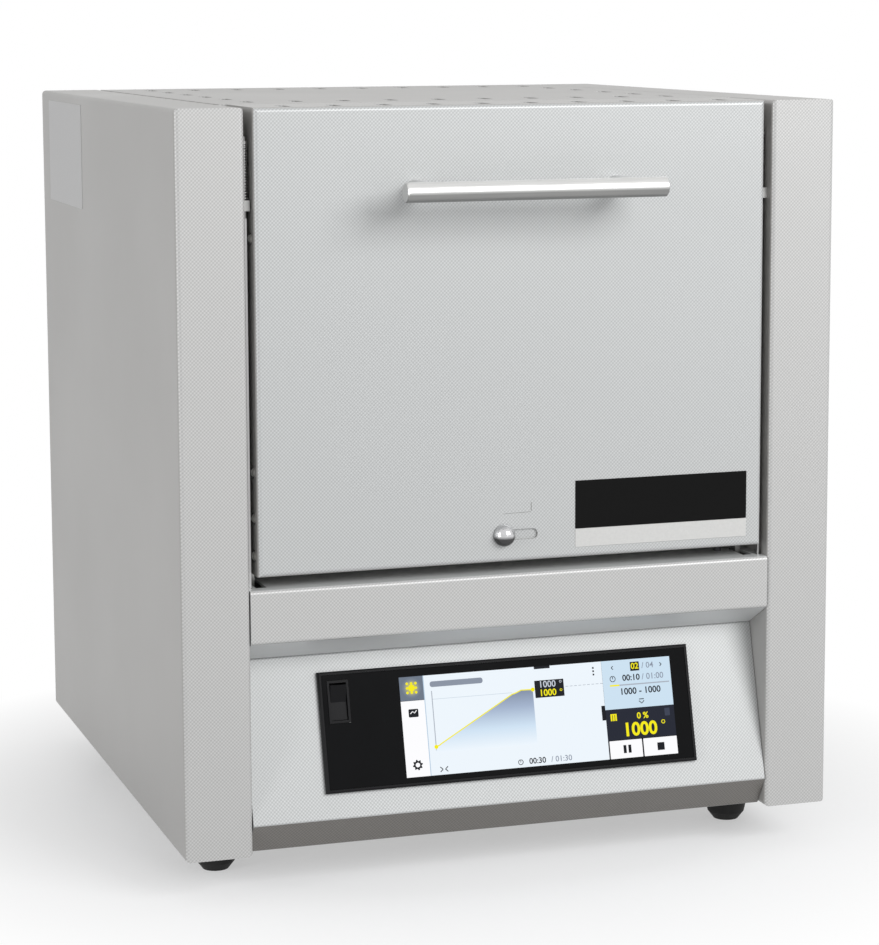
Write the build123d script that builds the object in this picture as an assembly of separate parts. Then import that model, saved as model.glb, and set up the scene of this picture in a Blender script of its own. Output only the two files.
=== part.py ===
from build123d import *
import math
import os

# A benchtop muffle furnace with a flap door, in millimetres.
# The model is laid out in casing coordinates: X is 0 on the centre plane, Y is 0 on the front plane and
# grows to the rear, Z is 0 at the underside of the casing. At the end everything moves to the part's frame.

# Casing
CASE_W = 385.0
CASE_D = 385.0
CASE_H = 411.6
PILLAR_W = 38.3
PILLAR_D = 60.0
SHEET = 1.2
BEND_R = 2.6
SEAM = 0.3
BASE_SHEET = 1.5

# Feet
FOOT_H = 25.0
FOOT_D = 25.0
FOOT_NECK_D = 19.0
FOOT_INSET_X = 33.0
FOOT_INSET_Y = 68.0
FOOT_SCREW_D = 5.0
FOOT_SCREW_REACH = 12.0

# Front rail under the door
RAIL_TOP_Z = 149.0
RAIL_FACE_H = 29.5
RAIL_SHEET = 1.5
RAIL_BEND_R = 2.0
RAIL_D = 57.0

# Slanted control panel
PANEL_TOP_Y = 24.2
PANEL_TOP_Z = 106.0
PANEL_FOOT_Z = 17.0
SKIRT_BACK = 10.0
PANEL_LIP = 15.0
PANEL_SHEET = 1.5

# Door
DOOR_SIDE_GAP = 4.9
DOOR_D = 57.0
DOOR_BOTTOM_Z = 156.2
DOOR_SHEET = 1.2
DOOR_BEND_R = 2.5
DOOR_BLOCK_EDGE_X = 18.3
DOOR_BLOCK_EDGE_Z = 19.6
DOOR_BLOCK_BOTTOM_Z = 186.0
DOOR_BLOCK_RIM = 10.0
DOOR_AIR_GAP = 18.0
SEAL_GAP = 0.4
SIDE_SCREW_Z = (167.2, 188.0, 213.5, 341.0)
SIDE_SCREW_Y = 8.2
SIDE_SCREW_D = 6.4
SIDE_SCREW_H = 1.7

# Door pivot and balance
PIVOT_Y = 14.0
PIVOT_Z = 137.5
PIN_D = 5.0
RUNNING_FIT = 0.05
ARM_T = 3.0
ARM_HALF = 4.5
NECK_Y = 12.0
NECK_W = 8.0
ARM_TOP_Z = 226.0
ARM_SLOT_W = 6.0
STUD_R = 10.0
STUD_D = 3.0
STUD_ANGLE = 45.0
BRACKET_T = 1.5
STRAP_T = 1.2
STRAP_W = 3.6
ROD_D = 1.8
SPRING_L = 30.0
SPRING_D = 3.8
SPRING_WIRE = 0.7
SPRING_WIRE_SIDES = 8
SPRING_TURNS = 9
GUIDE_Z = 356.0
GUIDE_H = 5.8

# Handle
HANDLE_D = 11.0
HANDLE_L = 150.0
HANDLE_Y = 34.0
HANDLE_Z = 366.5
POST_D = 10.0
POST_SPACING = 118.0
POST_NUT_D = 9.5
POST_NUT_T = 4.5

# Air inlet slide
AIR_KNOB_D = 12.5
AIR_KNOB_X = -7.6
AIR_SLOT_Z = 171.4
AIR_SLOT_H = 6.0
AIR_TRAVEL = 17.0
AIR_TUBE_D = 20.0
AIR_TUBE_BORE = 14.0
AIR_PLATE_T = 1.5
AIR_PLATE_HALF_W = 26.0
AIR_GUIDE_SHEET = 0.8
AIR_GUIDE_BEND = 0.9

# Vent slots
VENT_COLUMNS = 10
VENT_ROWS = 6
VENT_W = 6.0
VENT_L = 20.0
VENT_FIRST_Y = 97.0
VENT_REAR_EDGE = 38.0
VENT_SIDE_EDGE = 25.95
DOOR_VENT_Y = 18.0
REAR_SLOT_L = 48.0
REAR_SLOT_H = 5.0
REAR_SLOT_PITCH = 12.0

# Chamber
CHAMBER_W = 200.0
CHAMBER_H = 130.0
CHAMBER_D = 175.0
CHAMBER_FLOOR_Z = 222.0
HEATER_T = 8.0
FLOOR_TILE_T = 8.0
COLLAR_D = 48.0
COLLAR_MARGIN = 18.0
SHELL_SHEET = 0.8
SHELL_SIDE_GAP = 5.2
SHELL_BOTTOM_Z = 152.4
SHELL_TOP_GAP = 9.6
SHELL_REAR_GAP = 33.6
EXHAUST_D = 30.0
EXHAUST_BORE = 22.0
EXHAUST_STUB = 24.0
EXHAUST_RING_T = 3.0
THERMO_D = 8.0
THERMO_X = -48.0
LEAD_D = 6.0
LEAD_REACH = 12.0
LEAD_HALF_PITCH = 40.0
THERMO_REACH = 28.0
THERMO_HEAD_W = 26.0
THERMO_HEAD_H = 22.0
THERMO_HEAD_D = 14.0

# Display and switch on the slanted panel
BEZEL_W = 223.0
BEZEL_H = 67.5
BEZEL_T = 3.0
BEZEL_MID = 48.0
GLASS_T = 1.7
LCD_LEFT = 46.85
LCD_RIGHT = 11.65
LCD_H = 56.0
MODULE_T = 6.0
BOARD_DEPTH = 13.0
BOARD_T = 1.6
BOARD_PART_H = 5.4
SPACER_D = 5.0
SWITCH_W = 12.4
SWITCH_H = 23.8
SWITCH_EDGE = 11.0
SWITCH_MID = 64.7
ROCKER_TILT = 7.0
ROCKER_PIVOT_H = -0.5
SWITCH_POCKET = 8.0

# Door switch in the rail, and the mains inlet
PLUNGER_EDGE = 15.3
PLUNGER_Y = 26.0
PLUNGER_D = 4.0
INLET_EDGE = 36.2
INLET_Z = 60.0
INLET_W = 28.0
INLET_H = 20.4
INLET_RIM = 6.0
INLET_WALL = 1.8
INLET_DEPTH = 15.0

# Electronic units under the partition
SINK_W = 80.0
SINK_D = 90.0
SINK_H = 30.0
SINK_BASE_H = 6.0
SINK_FINS = 8
SINK_FIN_T = 2.0
RELAY_W = 44.0
RELAY_D = 60.0
RELAY_H = 26.0
SUPPLY_W = 62.0
SUPPLY_D = 100.0
SUPPLY_H = 38.0
TERMINAL_W = 80.0
TERMINAL_D = 24.0
TERMINAL_H = 14.0
TERMINAL_COUNT = 6
TERMINAL_EDGE = 42.5
UNIT_GAP = 4.0
UNIT_REAR_GAP = 45.0
REAR_SCREW_D = 7.0
REAR_SCREW_INSET = 8.0

# Values worked out from the ones above
HALF_W = CASE_W / 2
FLANGE_X = HALF_W - PILLAR_W
DOOR_X = FLANGE_X - DOOR_SIDE_GAP
DOOR_TOP_Z = CASE_H
PLATE_Y = PILLAR_D + 1.0
COLLAR_Y = PLATE_Y - 0.5
SHELL_Y = PLATE_Y + SHEET
RAIL_FOOT_Z = RAIL_TOP_Z - RAIL_FACE_H
REAR_Y = CASE_D - SHEET
SHELL_X = FLANGE_X - SHELL_SIDE_GAP
SHELL_TOP_Z = CASE_H - SHELL_TOP_GAP
SHELL_REAR_Y = REAR_Y - SHELL_REAR_GAP
PLUNGER_X = DOOR_X - PLUNGER_EDGE
INLET_X = FLANGE_X - INLET_EDGE
SWITCH_X = SWITCH_EDGE - BEZEL_W / 2
LCD_W = BEZEL_W - LCD_LEFT - LCD_RIGHT
LCD_X = (LCD_LEFT - LCD_RIGHT) / 2
CHAMBER_MID_Z = CHAMBER_FLOOR_Z + CHAMBER_H / 2
CHAMBER_TOP_Z = CHAMBER_FLOOR_Z + CHAMBER_H
CHAMBER_REAR_Y = COLLAR_Y + CHAMBER_D
WALL_X = CHAMBER_W / 2 + HEATER_T
TILE_Z = CHAMBER_FLOOR_Z - FLOOR_TILE_T
BLOCK_X = SHELL_X - SHELL_SHEET
EXHAUST_Z = CHAMBER_TOP_Z - EXHAUST_D / 2 - 6.0
BLOCK_Y = PLATE_Y - SEAL_GAP - 0.5
STUD_Y = PIVOT_Y - STUD_R * math.cos(math.radians(STUD_ANGLE))
STUD_Z = PIVOT_Z + STUD_R * math.sin(math.radians(STUD_ANGLE))
ROD_X = (DOOR_X + FLANGE_X) / 2 + 0.15
ARM_X = DOOR_X - DOOR_SHEET
ARM_SLOT_X = ARM_X + 0.5
NECK_FRONT = PIVOT_Y + NECK_Y
NECK_REAR = NECK_FRONT + NECK_W
SLOT_FRONT = PIVOT_Y - ARM_HALF - 0.3
SLOT_REAR = NECK_REAR + 0.6
ROD_Y = STUD_Y + STUD_D / 2 + 0.2 + STRAP_W / 2
SPRING_Z = GUIDE_Z + GUIDE_H + 0.1
BRACKET_X = ROD_X - STRAP_T / 2 - 0.4
AIR_TUBE_Z = CHAMBER_FLOOR_Z + 14.0
AIR_PLATE_Y = DOOR_AIR_GAP - 6.0 - 0.3 - AIR_PLATE_T
AIR_FRONT_Y = DOOR_SHEET + 0.2
AIR_PLATE_BOTTOM = AIR_SLOT_Z - 7.0
AIR_PLATE_TOP = AIR_TUBE_Z + 16.0
DECK_Z = SHEET + BASE_SHEET
AIR_SLOT_LEFT = AIR_KNOB_X - AIR_SLOT_H / 2 - 0.1
AIR_SLOT_RIGHT = AIR_KNOB_X + AIR_TRAVEL + AIR_SLOT_H / 2 + 0.1
TOTAL_FRONT = HANDLE_Y + HANDLE_D / 2
TOTAL_REAR = CASE_D + EXHAUST_STUB
FRAME_SHIFT_Y = (TOTAL_FRONT - TOTAL_REAR) / 2

slope = Plane(
    origin=(0, 0, PANEL_FOOT_Z),
    x_dir=(1, 0, 0),
    z_dir=(0, PANEL_FOOT_Z - PANEL_TOP_Z, PANEL_TOP_Y),
)


def block(x0, x1, y0, y1, z0, z1):
    """A box between two corners."""
    return Pos((x0 + x1) / 2, (y0 + y1) / 2, (z0 + z1) / 2) * Box(x1 - x0, y1 - y0, z1 - z0)


def bar_x(x0, x1, y, z, diameter):
    """A round bar along X."""
    return Pos((x0 + x1) / 2, y, z) * Rot(0, 90, 0) * Cylinder(diameter / 2, x1 - x0)


def bar_y(y0, y1, x, z, diameter):
    """A round bar along Y."""
    return Pos(x, (y0 + y1) / 2, z) * Rot(90, 0, 0) * Cylinder(diameter / 2, y1 - y0)


def bar_z(z0, z1, x, y, diameter):
    """A round bar along Z."""
    return Pos(x, y, (z0 + z1) / 2) * Cylinder(diameter / 2, z1 - z0)


def on_slope(x, s, h0, h1, width, height):
    """A box on the slanted panel: s runs up the slope and h stands out from its face."""
    return slope.location * Pos(x, s, (h0 + h1) / 2) * Box(width, height, h1 - h0)


def dome_head_x(x, y, z, diameter, height):
    """A dome screw head that stands on a face at x and points to -X."""
    sphere_r = (diameter ** 2 / 4 + height ** 2) / (2 * height)
    half_angle = math.asin(diameter / 2 / sphere_r) / 2
    middle = (height - sphere_r + sphere_r * math.cos(half_angle), sphere_r * math.sin(half_angle))
    dome = ThreePointArc((0, diameter / 2), middle, (height, 0))
    profile = make_face(dome + Polyline((height, 0), (0, 0), (0, diameter / 2)))
    return Pos(x, y, z) * Rot(0, 0, 180) * revolve(profile, Axis.X)


def bent_sheet(points, thickness, bend, x0, x1):
    """A bent sheet along X. The points, as (y, z), are on its outer face, with the inside on the left."""
    path = FilletPolyline(*points, radius=bend)
    outline = make_face(offset(path, thickness, side=Side.LEFT, closed=True))
    return extrude(Plane.YZ.offset(x0) * outline, x1 - x0)


def other_side(part):
    """The same piece on the other side of the centre plane."""
    return mirror(part, about=Plane.YZ)


def group(parts):
    """Several separate solids in one node."""
    return Compound(children=[solid for part in parts for solid in part.solids()])


def side_casing():
    """The left side panel, with its pillar, top, bottom and rear returns in one folded sheet."""
    inner_x = -FLANGE_X
    outer = block(-HALF_W, inner_x, 0, CASE_D, 0, CASE_H)
    front = outer.edges().filter_by(Axis.Z).group_by(Axis.Y)[0]
    long_edges = outer.edges().filter_by(Axis.Y)
    outer = fillet(list(front) + list(long_edges), BEND_R)
    hollow = block(-HALF_W + SHEET, inner_x - SHEET, SHEET, CASE_D - SHEET, SHEET, CASE_H - SHEET)
    opening = block(inner_x - BEND_R - SHEET, inner_x, PILLAR_D, CASE_D - SHEET, SHEET, CASE_H - SHEET)
    casing = outer - hollow - opening
    for x, y in foot_places():
        if x < 0:
            casing -= bar_z(-1.0, SHEET + 1.0, x, y, FOOT_SCREW_D + 2 * RUNNING_FIT)
    return casing


def vent(x, y, z):
    """The cut of one vent slot that runs front to back."""
    return Pos(x, y, z) * extrude(Rot(0, 0, 90) * SlotOverall(VENT_L, VENT_W), SHEET * 2, both=True)


def vent_columns():
    """The X places of the vent slots."""
    first = VENT_SIDE_EDGE - FLANGE_X
    pitch = -2 * first / (VENT_COLUMNS - 1)
    return [first + pitch * i for i in range(VENT_COLUMNS)]


def top_cover():
    """The fixed part of the top, with a ring of vent slots and a lip down each side."""
    half = FLANGE_X - SEAM
    front = DOOR_D + 1.5
    rear = REAR_Y - SEAM
    cover = block(-half, half, front, rear, CASE_H - SHEET, CASE_H)
    for side in (-1, 1):
        inner = side * (half - SHEET)
        lip_x = sorted((side * half, inner))
        cover += block(lip_x[0], lip_x[1], SHELL_Y + SEAM, rear, CASE_H - 9.0, CASE_H - SHEET)
    columns = vent_columns()
    pitch = (CASE_D - VENT_REAR_EDGE - VENT_FIRST_Y) / (VENT_ROWS - 1)
    for row in range(VENT_ROWS):
        y = VENT_FIRST_Y + row * pitch
        full_row = row in (0, VENT_ROWS - 1)
        for x in columns if full_row else (columns[0], columns[-1]):
            cover -= vent(x, y, CASE_H)
    return cover


def base_plate():
    """The floor of the casing, lying on the bottom returns of the side casings."""
    half = HALF_W - SHEET - SEAM
    notch = HALF_W - PILLAR_W - SEAM
    plate = block(-half, half, PILLAR_D, REAR_Y - SEAM, SHEET, SHEET + BASE_SHEET)
    plate += block(-notch, notch, SKIRT_BACK + PANEL_SHEET + 2.0, PILLAR_D, SHEET + 0.3, SHEET + BASE_SHEET)
    for x, y in foot_places():
        plate -= bar_z(0, 10, x, y, FOOT_SCREW_D + 2 * RUNNING_FIT)
    for i in range(7):
        slot = Rot(0, 0, 90) * SlotOverall(60.0, 5.0)
        plate -= Pos(-60.0 + i * 20.0, 250.0, SHEET) * extrude(slot, BASE_SHEET * 2, both=True)
    return plate


def rear_panel():
    """The rear sheet between the side casings, with air slots and the cut-outs of what passes through."""
    half = FLANGE_X - SEAM
    panel = block(-half, half, REAR_Y, CASE_D, SHEET + BASE_SHEET + SEAM, CASE_H - SHEET - SEAM)
    slot = Rot(90, 0, 0) * extrude(SlotOverall(REAR_SLOT_L, REAR_SLOT_H), SHEET * 2, both=True)
    low = SHELL_BOTTOM_Z + 2 * REAR_SLOT_PITCH
    high = CASE_H - 2 * REAR_SLOT_PITCH
    for column in (-0.6, 0.0, 0.6):
        for row in range(4):
            panel -= Pos(column * half, CASE_D, low + row * REAR_SLOT_PITCH) * slot
    for column in (-0.3, 0.3):
        for row in range(2):
            panel -= Pos(column * half, CASE_D, high + row * REAR_SLOT_PITCH) * slot
    panel -= bar_y(REAR_Y - 1, CASE_D + 1, 0, EXHAUST_Z, EXHAUST_D + 1.0)
    x = INLET_W / 2
    z = INLET_H / 2
    panel -= block(INLET_X - x, INLET_X + x, REAR_Y - 1, CASE_D + 1, INLET_Z - z, INLET_Z + z)
    return panel


def front_rail():
    """The cross rail under the door: a folded sheet with a slot for each hinge arm."""
    half = FLANGE_X - SEAM
    path = [
        (RAIL_D, RAIL_TOP_Z),
        (0, RAIL_TOP_Z),
        (0, RAIL_FOOT_Z),
        (PANEL_TOP_Y, PANEL_TOP_Z),
        (PANEL_TOP_Y + PANEL_LIP, PANEL_TOP_Z),
    ]
    rail = bent_sheet(path, RAIL_SHEET, RAIL_BEND_R, -half, half)
    for side in (-1, 1):
        slot_x = sorted((side * ARM_SLOT_X, side * (ARM_SLOT_X - ARM_SLOT_W)))
        notch_x = sorted((side * FLANGE_X, side * (ROD_X - STRAP_T / 2 - 0.4)))
        notch_y = (ROD_Y - STRAP_W / 2 - 0.5, ROD_Y + STRAP_W / 2 + 0.5)
        rail -= block(slot_x[0], slot_x[1], SLOT_FRONT, SLOT_REAR, RAIL_TOP_Z - 4.0, RAIL_TOP_Z + 1.0)
        rail -= block(notch_x[0], notch_x[1], notch_y[0], notch_y[1], RAIL_TOP_Z - 4.0, RAIL_TOP_Z + 1.0)
    rail -= bar_z(RAIL_TOP_Z - 4.0, RAIL_TOP_Z + 1.0, PLUNGER_X, PLUNGER_Y, PLUNGER_D + 0.4)
    return rail


def control_panel():
    """The slanted panel sheet, with the undercut skirt at its foot and a lip under the rail."""
    half = FLANGE_X - SEAM
    path = [
        (PANEL_TOP_Y + PANEL_LIP, PANEL_TOP_Z),
        (PANEL_TOP_Y, PANEL_TOP_Z),
        (0, PANEL_FOOT_Z),
        (SKIRT_BACK, 0),
        (SKIRT_BACK + PANEL_LIP, 0),
    ]
    panel = bent_sheet(path, PANEL_SHEET, PANEL_SHEET + 0.1, -half, half)
    panel -= on_slope(0, BEZEL_MID, -6, 6, BEZEL_W - 8.0, BEZEL_H - 8.0)
    return panel


def feet():
    """Four bowl-shaped rubber feet, each with its screw hole."""
    height = FOOT_H
    profile = Polyline(
        (0, 0),
        (FOOT_NECK_D / 2, 0),
        (FOOT_D / 2 - 1.0, -height * 0.35),
        (FOOT_D / 2, -height * 0.55),
        (FOOT_D / 2 - 1.5, -height * 0.82),
        (FOOT_D / 2 - 5.0, -height),
        (0, -height),
        close=True,
    )
    foot = revolve(Plane.XZ * make_face(profile), Axis.Z)
    foot -= bar_z(-FOOT_SCREW_REACH, 1.0, 0, 0, FOOT_SCREW_D)
    return group([Pos(x, y, 0) * foot for x, y in foot_places()])


def foot_places():
    """The four places of the feet, front left first and then round by the right."""
    x = HALF_W - FOOT_INSET_X
    return [(-x, FOOT_INSET_Y), (x, FOOT_INSET_Y), (x, CASE_D - FOOT_INSET_Y), (-x, CASE_D - FOOT_INSET_Y)]


def foot_screws():
    """The screws that hold the feet, with their heads inside the casing."""
    top = SHEET + BASE_SHEET
    screws = []
    for x, y in foot_places():
        shank = bar_z(-FOOT_SCREW_REACH, top, x, y, FOOT_SCREW_D)
        screws.append(shank + bar_z(top, top + 3.0, x, y, FOOT_SCREW_D * 1.8))
    return screws


def partition():
    """The sheet between the electronics and the chamber, with a flange down each side."""
    half = HALF_W - SHEET - SEAM
    z = SHELL_BOTTOM_Z
    sheet = block(-half, half, SHELL_Y, REAR_Y - SEAM, z - SHEET, z)
    for side in (-1, 1):
        xs = sorted((side * half, side * (half - SHEET)))
        sheet += block(xs[0], xs[1], SHELL_Y, REAR_Y - SEAM, z - 16.0, z - SHEET)
    return sheet


def collar_plate():
    """The steel plate behind the door, with an opening for the fibre collar."""
    half = FLANGE_X + 16.0
    plate = block(-half, half, PLATE_Y, PLATE_Y + SHEET, SHELL_BOTTOM_Z - SHEET, CASE_H - SHEET - SEAM)
    return plate - collar_boss(0.0, PLATE_Y - 2, PLATE_Y + SHEET + 2)


def collar_boss(margin, y0, y1):
    """The part of the fibre collar that stands through the collar plate."""
    half = CHAMBER_W / 2 + COLLAR_MARGIN + margin
    bottom = CHAMBER_FLOOR_Z - COLLAR_MARGIN - margin
    top = CHAMBER_TOP_Z + COLLAR_MARGIN + margin
    return block(-half, half, y0, y1, bottom, top)


def chamber_shell():
    """The inner sheet box round the insulation, open at the front."""
    half = SHELL_X
    t = SHELL_SHEET
    shell = block(-half, half, SHELL_Y, SHELL_REAR_Y, SHELL_BOTTOM_Z, SHELL_TOP_Z)
    shell -= block(-half + t, half - t, SHELL_Y - 1, SHELL_REAR_Y - t, SHELL_BOTTOM_Z + t, SHELL_TOP_Z - t)
    return shell - rear_holes(SHELL_REAR_Y - 2, SHELL_REAR_Y + 1)


def rear_holes(y0, y1):
    """What the exhaust tube, the thermocouple and the heater leads pass through."""
    holes = bar_y(y0, y1, 0, EXHAUST_Z, EXHAUST_D)
    holes += bar_y(y0, y1, THERMO_X, EXHAUST_Z, THERMO_D)
    for x, z in lead_places():
        holes += bar_y(y0, y1, x, z, LEAD_D)
    return holes


def lead_places():
    """The places of the four heater leads, two for each heating plate."""
    x = CHAMBER_W / 2 + HEATER_T / 2
    return [(side * x, CHAMBER_MID_Z + dz) for side in (-1, 1) for dz in (-LEAD_HALF_PITCH, LEAD_HALF_PITCH)]


def insulation():
    """The fibre blocks round the chamber, each a separate board."""
    t = SHELL_SHEET
    bottom = SHELL_BOTTOM_Z + t
    top = SHELL_TOP_Z - t
    collar_end = SHELL_Y + COLLAR_D
    rear = SHELL_REAR_Y - t
    chamber = block(
        -CHAMBER_W / 2, CHAMBER_W / 2, COLLAR_Y - 1, collar_end + 1, CHAMBER_FLOOR_Z, CHAMBER_TOP_Z
    )
    collar = block(-BLOCK_X, BLOCK_X, SHELL_Y, collar_end, bottom, top)
    collar += collar_boss(0.0, COLLAR_Y, SHELL_Y)
    collar -= chamber
    side_board = block(-BLOCK_X, -WALL_X, collar_end, CHAMBER_REAR_Y, TILE_Z, CHAMBER_TOP_Z)
    rear_board = block(-BLOCK_X, BLOCK_X, CHAMBER_REAR_Y, rear, TILE_Z, CHAMBER_TOP_Z)
    rear_board -= rear_holes(CHAMBER_REAR_Y - 1, rear + 1)
    return {
        "fibre_collar": collar,
        "insulation_floor": block(-BLOCK_X, BLOCK_X, collar_end, rear, bottom, TILE_Z),
        "insulation_roof": block(-BLOCK_X, BLOCK_X, collar_end, rear, CHAMBER_TOP_Z, top),
        "insulation_left": side_board,
        "insulation_right": other_side(side_board),
        "insulation_rear": rear_board,
    }


def heating_plate():
    """The left ceramic heating plate, ribbed over the heating wire cast into it."""
    front = SHELL_Y + COLLAR_D
    x = -CHAMBER_W / 2
    plate = block(-WALL_X, x, front, CHAMBER_REAR_Y, CHAMBER_FLOOR_Z, CHAMBER_TOP_Z)
    count = 7
    pitch = CHAMBER_H / count
    for i in range(count):
        z = CHAMBER_FLOOR_Z + pitch * (i + 0.5)
        plate -= block(x - 3.0, x, front + 8.0, CHAMBER_REAR_Y - 8.0, z - pitch * 0.27, z + pitch * 0.27)
    return plate


def floor_tile():
    """The ceramic plate on the chamber's floor."""
    return block(-WALL_X, WALL_X, SHELL_Y + COLLAR_D, CHAMBER_REAR_Y, TILE_Z, CHAMBER_FLOOR_Z)


def exhaust_tube():
    """The ceramic tube that leads fumes from the chamber out through the rear."""
    tube = bar_y(CHAMBER_REAR_Y, TOTAL_REAR, 0, EXHAUST_Z, EXHAUST_D)
    return tube - bar_y(CHAMBER_REAR_Y - 1, TOTAL_REAR + 1, 0, EXHAUST_Z, EXHAUST_BORE)


def exhaust_flange():
    """The steel ring and spigot that hold the exhaust tube on the rear panel."""
    face = CASE_D + EXHAUST_RING_T
    ring = bar_y(CASE_D, face, 0, EXHAUST_Z, EXHAUST_D + 24.0)
    ring += bar_y(face, TOTAL_REAR, 0, EXHAUST_Z, EXHAUST_D + 6.0)
    return ring - bar_y(CASE_D - 1, TOTAL_REAR + 1, 0, EXHAUST_Z, EXHAUST_D)


def thermocouple():
    """The ceramic sheath of the thermocouple, with its tip in the chamber."""
    tip_y = CHAMBER_REAR_Y - THERMO_REACH
    sheath = bar_y(tip_y, SHELL_REAR_Y + 4.0, THERMO_X, EXHAUST_Z, THERMO_D)
    return fillet(sheath.edges().group_by(Axis.Y)[0], THERMO_D / 2 - 0.1)


def thermocouple_head():
    """The terminal block at the end of the thermocouple, standing on the chamber shell."""
    y = SHELL_REAR_Y
    x = THERMO_HEAD_W / 2
    z = THERMO_HEAD_H / 2
    head = block(THERMO_X - x, THERMO_X + x, y, y + THERMO_HEAD_D, EXHAUST_Z - z, EXHAUST_Z + z)
    return head - bar_y(y - 1, y + 4.0, THERMO_X, EXHAUST_Z, THERMO_D)


def heater_leads():
    """The beaded leads of the heating plates, out to the rear of the chamber shell."""
    return group([bar_y(CHAMBER_REAR_Y, SHELL_REAR_Y + LEAD_REACH, x, z, LEAD_D) for x, z in lead_places()])


def electronics():
    """The electronic units in the space under the partition."""
    rear = CASE_D - UNIT_REAR_GAP
    middle = rear - SINK_D / 2
    left = FOOT_INSET_X + FOOT_SCREW_D - HALF_W
    sink = block(left, left + SINK_W, rear - SINK_D, rear, DECK_Z, DECK_Z + SINK_BASE_H)
    pitch = (SINK_W - SINK_FIN_T) / (SINK_FINS - 1)
    for i in range(SINK_FINS):
        x = left + i * pitch
        sink += block(x, x + SINK_FIN_T, rear - SINK_D, rear, DECK_Z + SINK_BASE_H, DECK_Z + SINK_H)
    x = left + SINK_W + UNIT_GAP
    relay = block(x, x + RELAY_W, middle - RELAY_D / 2, middle + RELAY_D / 2, DECK_Z, DECK_Z + RELAY_H)
    front = 2 * PILLAR_D
    x = HALF_W - TERMINAL_EDGE - TERMINAL_W
    supply_end = x - 2 * UNIT_GAP
    supply = block(supply_end - SUPPLY_W, supply_end, front, front + SUPPLY_D, DECK_Z, DECK_Z + SUPPLY_H)
    y = front + SUPPLY_D - TERMINAL_D
    terminals = block(x, x + TERMINAL_W, y, y + TERMINAL_D, DECK_Z, DECK_Z + TERMINAL_H)
    pitch = TERMINAL_W / TERMINAL_COUNT
    top = DECK_Z + TERMINAL_H
    for i in range(TERMINAL_COUNT):
        rib = x + (i + 0.2) * pitch
        terminals += block(rib, rib + pitch * 0.6, y, y + TERMINAL_D, top, top + TERMINAL_H / 2)
    return {
        "relay_heat_sink": sink,
        "solid_state_relay": relay,
        "power_supply": supply,
        "terminal_block": terminals,
    }


def mains_inlet():
    """The appliance inlet on the rear panel, an open socket with three pins."""
    x = INLET_W / 2
    z = INLET_H / 2
    floor = CASE_D - INLET_DEPTH
    body = block(INLET_X - x, INLET_X + x, floor - 7.0, CASE_D, INLET_Z - z, INLET_Z + z)
    rim_z = z + INLET_RIM * 0.4
    body += block(INLET_X - x - INLET_RIM, INLET_X + x + INLET_RIM, CASE_D, CASE_D + 3.0, INLET_Z - rim_z,
                  INLET_Z + rim_z)
    x -= INLET_WALL
    z -= INLET_WALL
    body -= block(INLET_X - x, INLET_X + x, floor, CASE_D + 4.0, INLET_Z - z, INLET_Z + z)
    for dx, dz in ((-0.25, -0.1), (0.25, -0.1), (0.0, 0.12)):
        pin_x = INLET_X + dx * INLET_W
        pin_z = INLET_Z + dz * INLET_H
        body += block(pin_x - 1.0, pin_x + 1.0, floor, CASE_D - 3.0, pin_z - 2.0, pin_z + 2.0)
    return body


def door_switch():
    """The switch under the rail's top that tells whether the door is shut."""
    top = RAIL_TOP_Z - RAIL_SHEET
    body = block(PLUNGER_X - 8.0, PLUNGER_X + 8.0, PLUNGER_Y - 8.0, PLUNGER_Y + 9.0, top - 22.0, top)
    return body - bar_z(top - 14.0, top + 1.0, PLUNGER_X, PLUNGER_Y, PLUNGER_D + 2 * RUNNING_FIT)


def door_switch_plunger():
    """The plunger that the shut door holds down."""
    low = RAIL_TOP_Z - RAIL_SHEET - 10.0
    pin = bar_z(low, DOOR_BOTTOM_Z - 0.2, PLUNGER_X, PLUNGER_Y, PLUNGER_D)
    return fillet(pin.edges().group_by(Axis.Z)[-1], PLUNGER_D / 2 - 0.1)


def hinge_bracket():
    """The fixed angle under the left end of the rail's top that carries the hinge pin."""
    top = RAIL_TOP_Z - RAIL_SHEET
    x = -BRACKET_X
    rear = SLOT_REAR + 16.0
    plate = block(x, x + BRACKET_T, PIVOT_Y - PIN_D / 2 - 2.2, rear, PIVOT_Z - 7.0, top)
    plate = fillet(plate.edges().filter_by(Axis.X).group_by(Axis.Z)[0], 3.0)
    flange = block(x, x + 18.0, SLOT_REAR + 2.0, rear, top - BRACKET_T, top)
    return plate + flange - bar_x(x - 1, x + 4, PIVOT_Y, PIVOT_Z, PIN_D)


def pin_inner_x():
    """The inner end of the left hinge pin."""
    return -ARM_X + ARM_T + 3.0


def hinge_pin():
    """The left hinge pin, riveted in its bracket, with a groove for its clip."""
    inner = pin_inner_x()
    pin = bar_x(-BRACKET_X, inner, PIVOT_Y, PIVOT_Z, PIN_D)
    groove = bar_x(inner - 2.4, inner - 1.4, PIVOT_Y, PIVOT_Z, PIN_D + 2.0)
    return pin - (groove - bar_x(inner - 3.0, inner, PIVOT_Y, PIVOT_Z, PIN_D - 1.2))


def hinge_clip():
    """The clip in the groove of the left hinge pin."""
    x = pin_inner_x() - 2.35
    ring = bar_x(x, x + 0.9, PIVOT_Y, PIVOT_Z, PIN_D + 4.0)
    ring -= bar_x(x - 1, x + 2, PIVOT_Y, PIVOT_Z, PIN_D - 1.2)
    return ring - block(x - 1, x + 2, PIVOT_Y - 1.5, PIVOT_Y + 1.5, PIVOT_Z - 8.0, PIVOT_Z)


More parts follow.
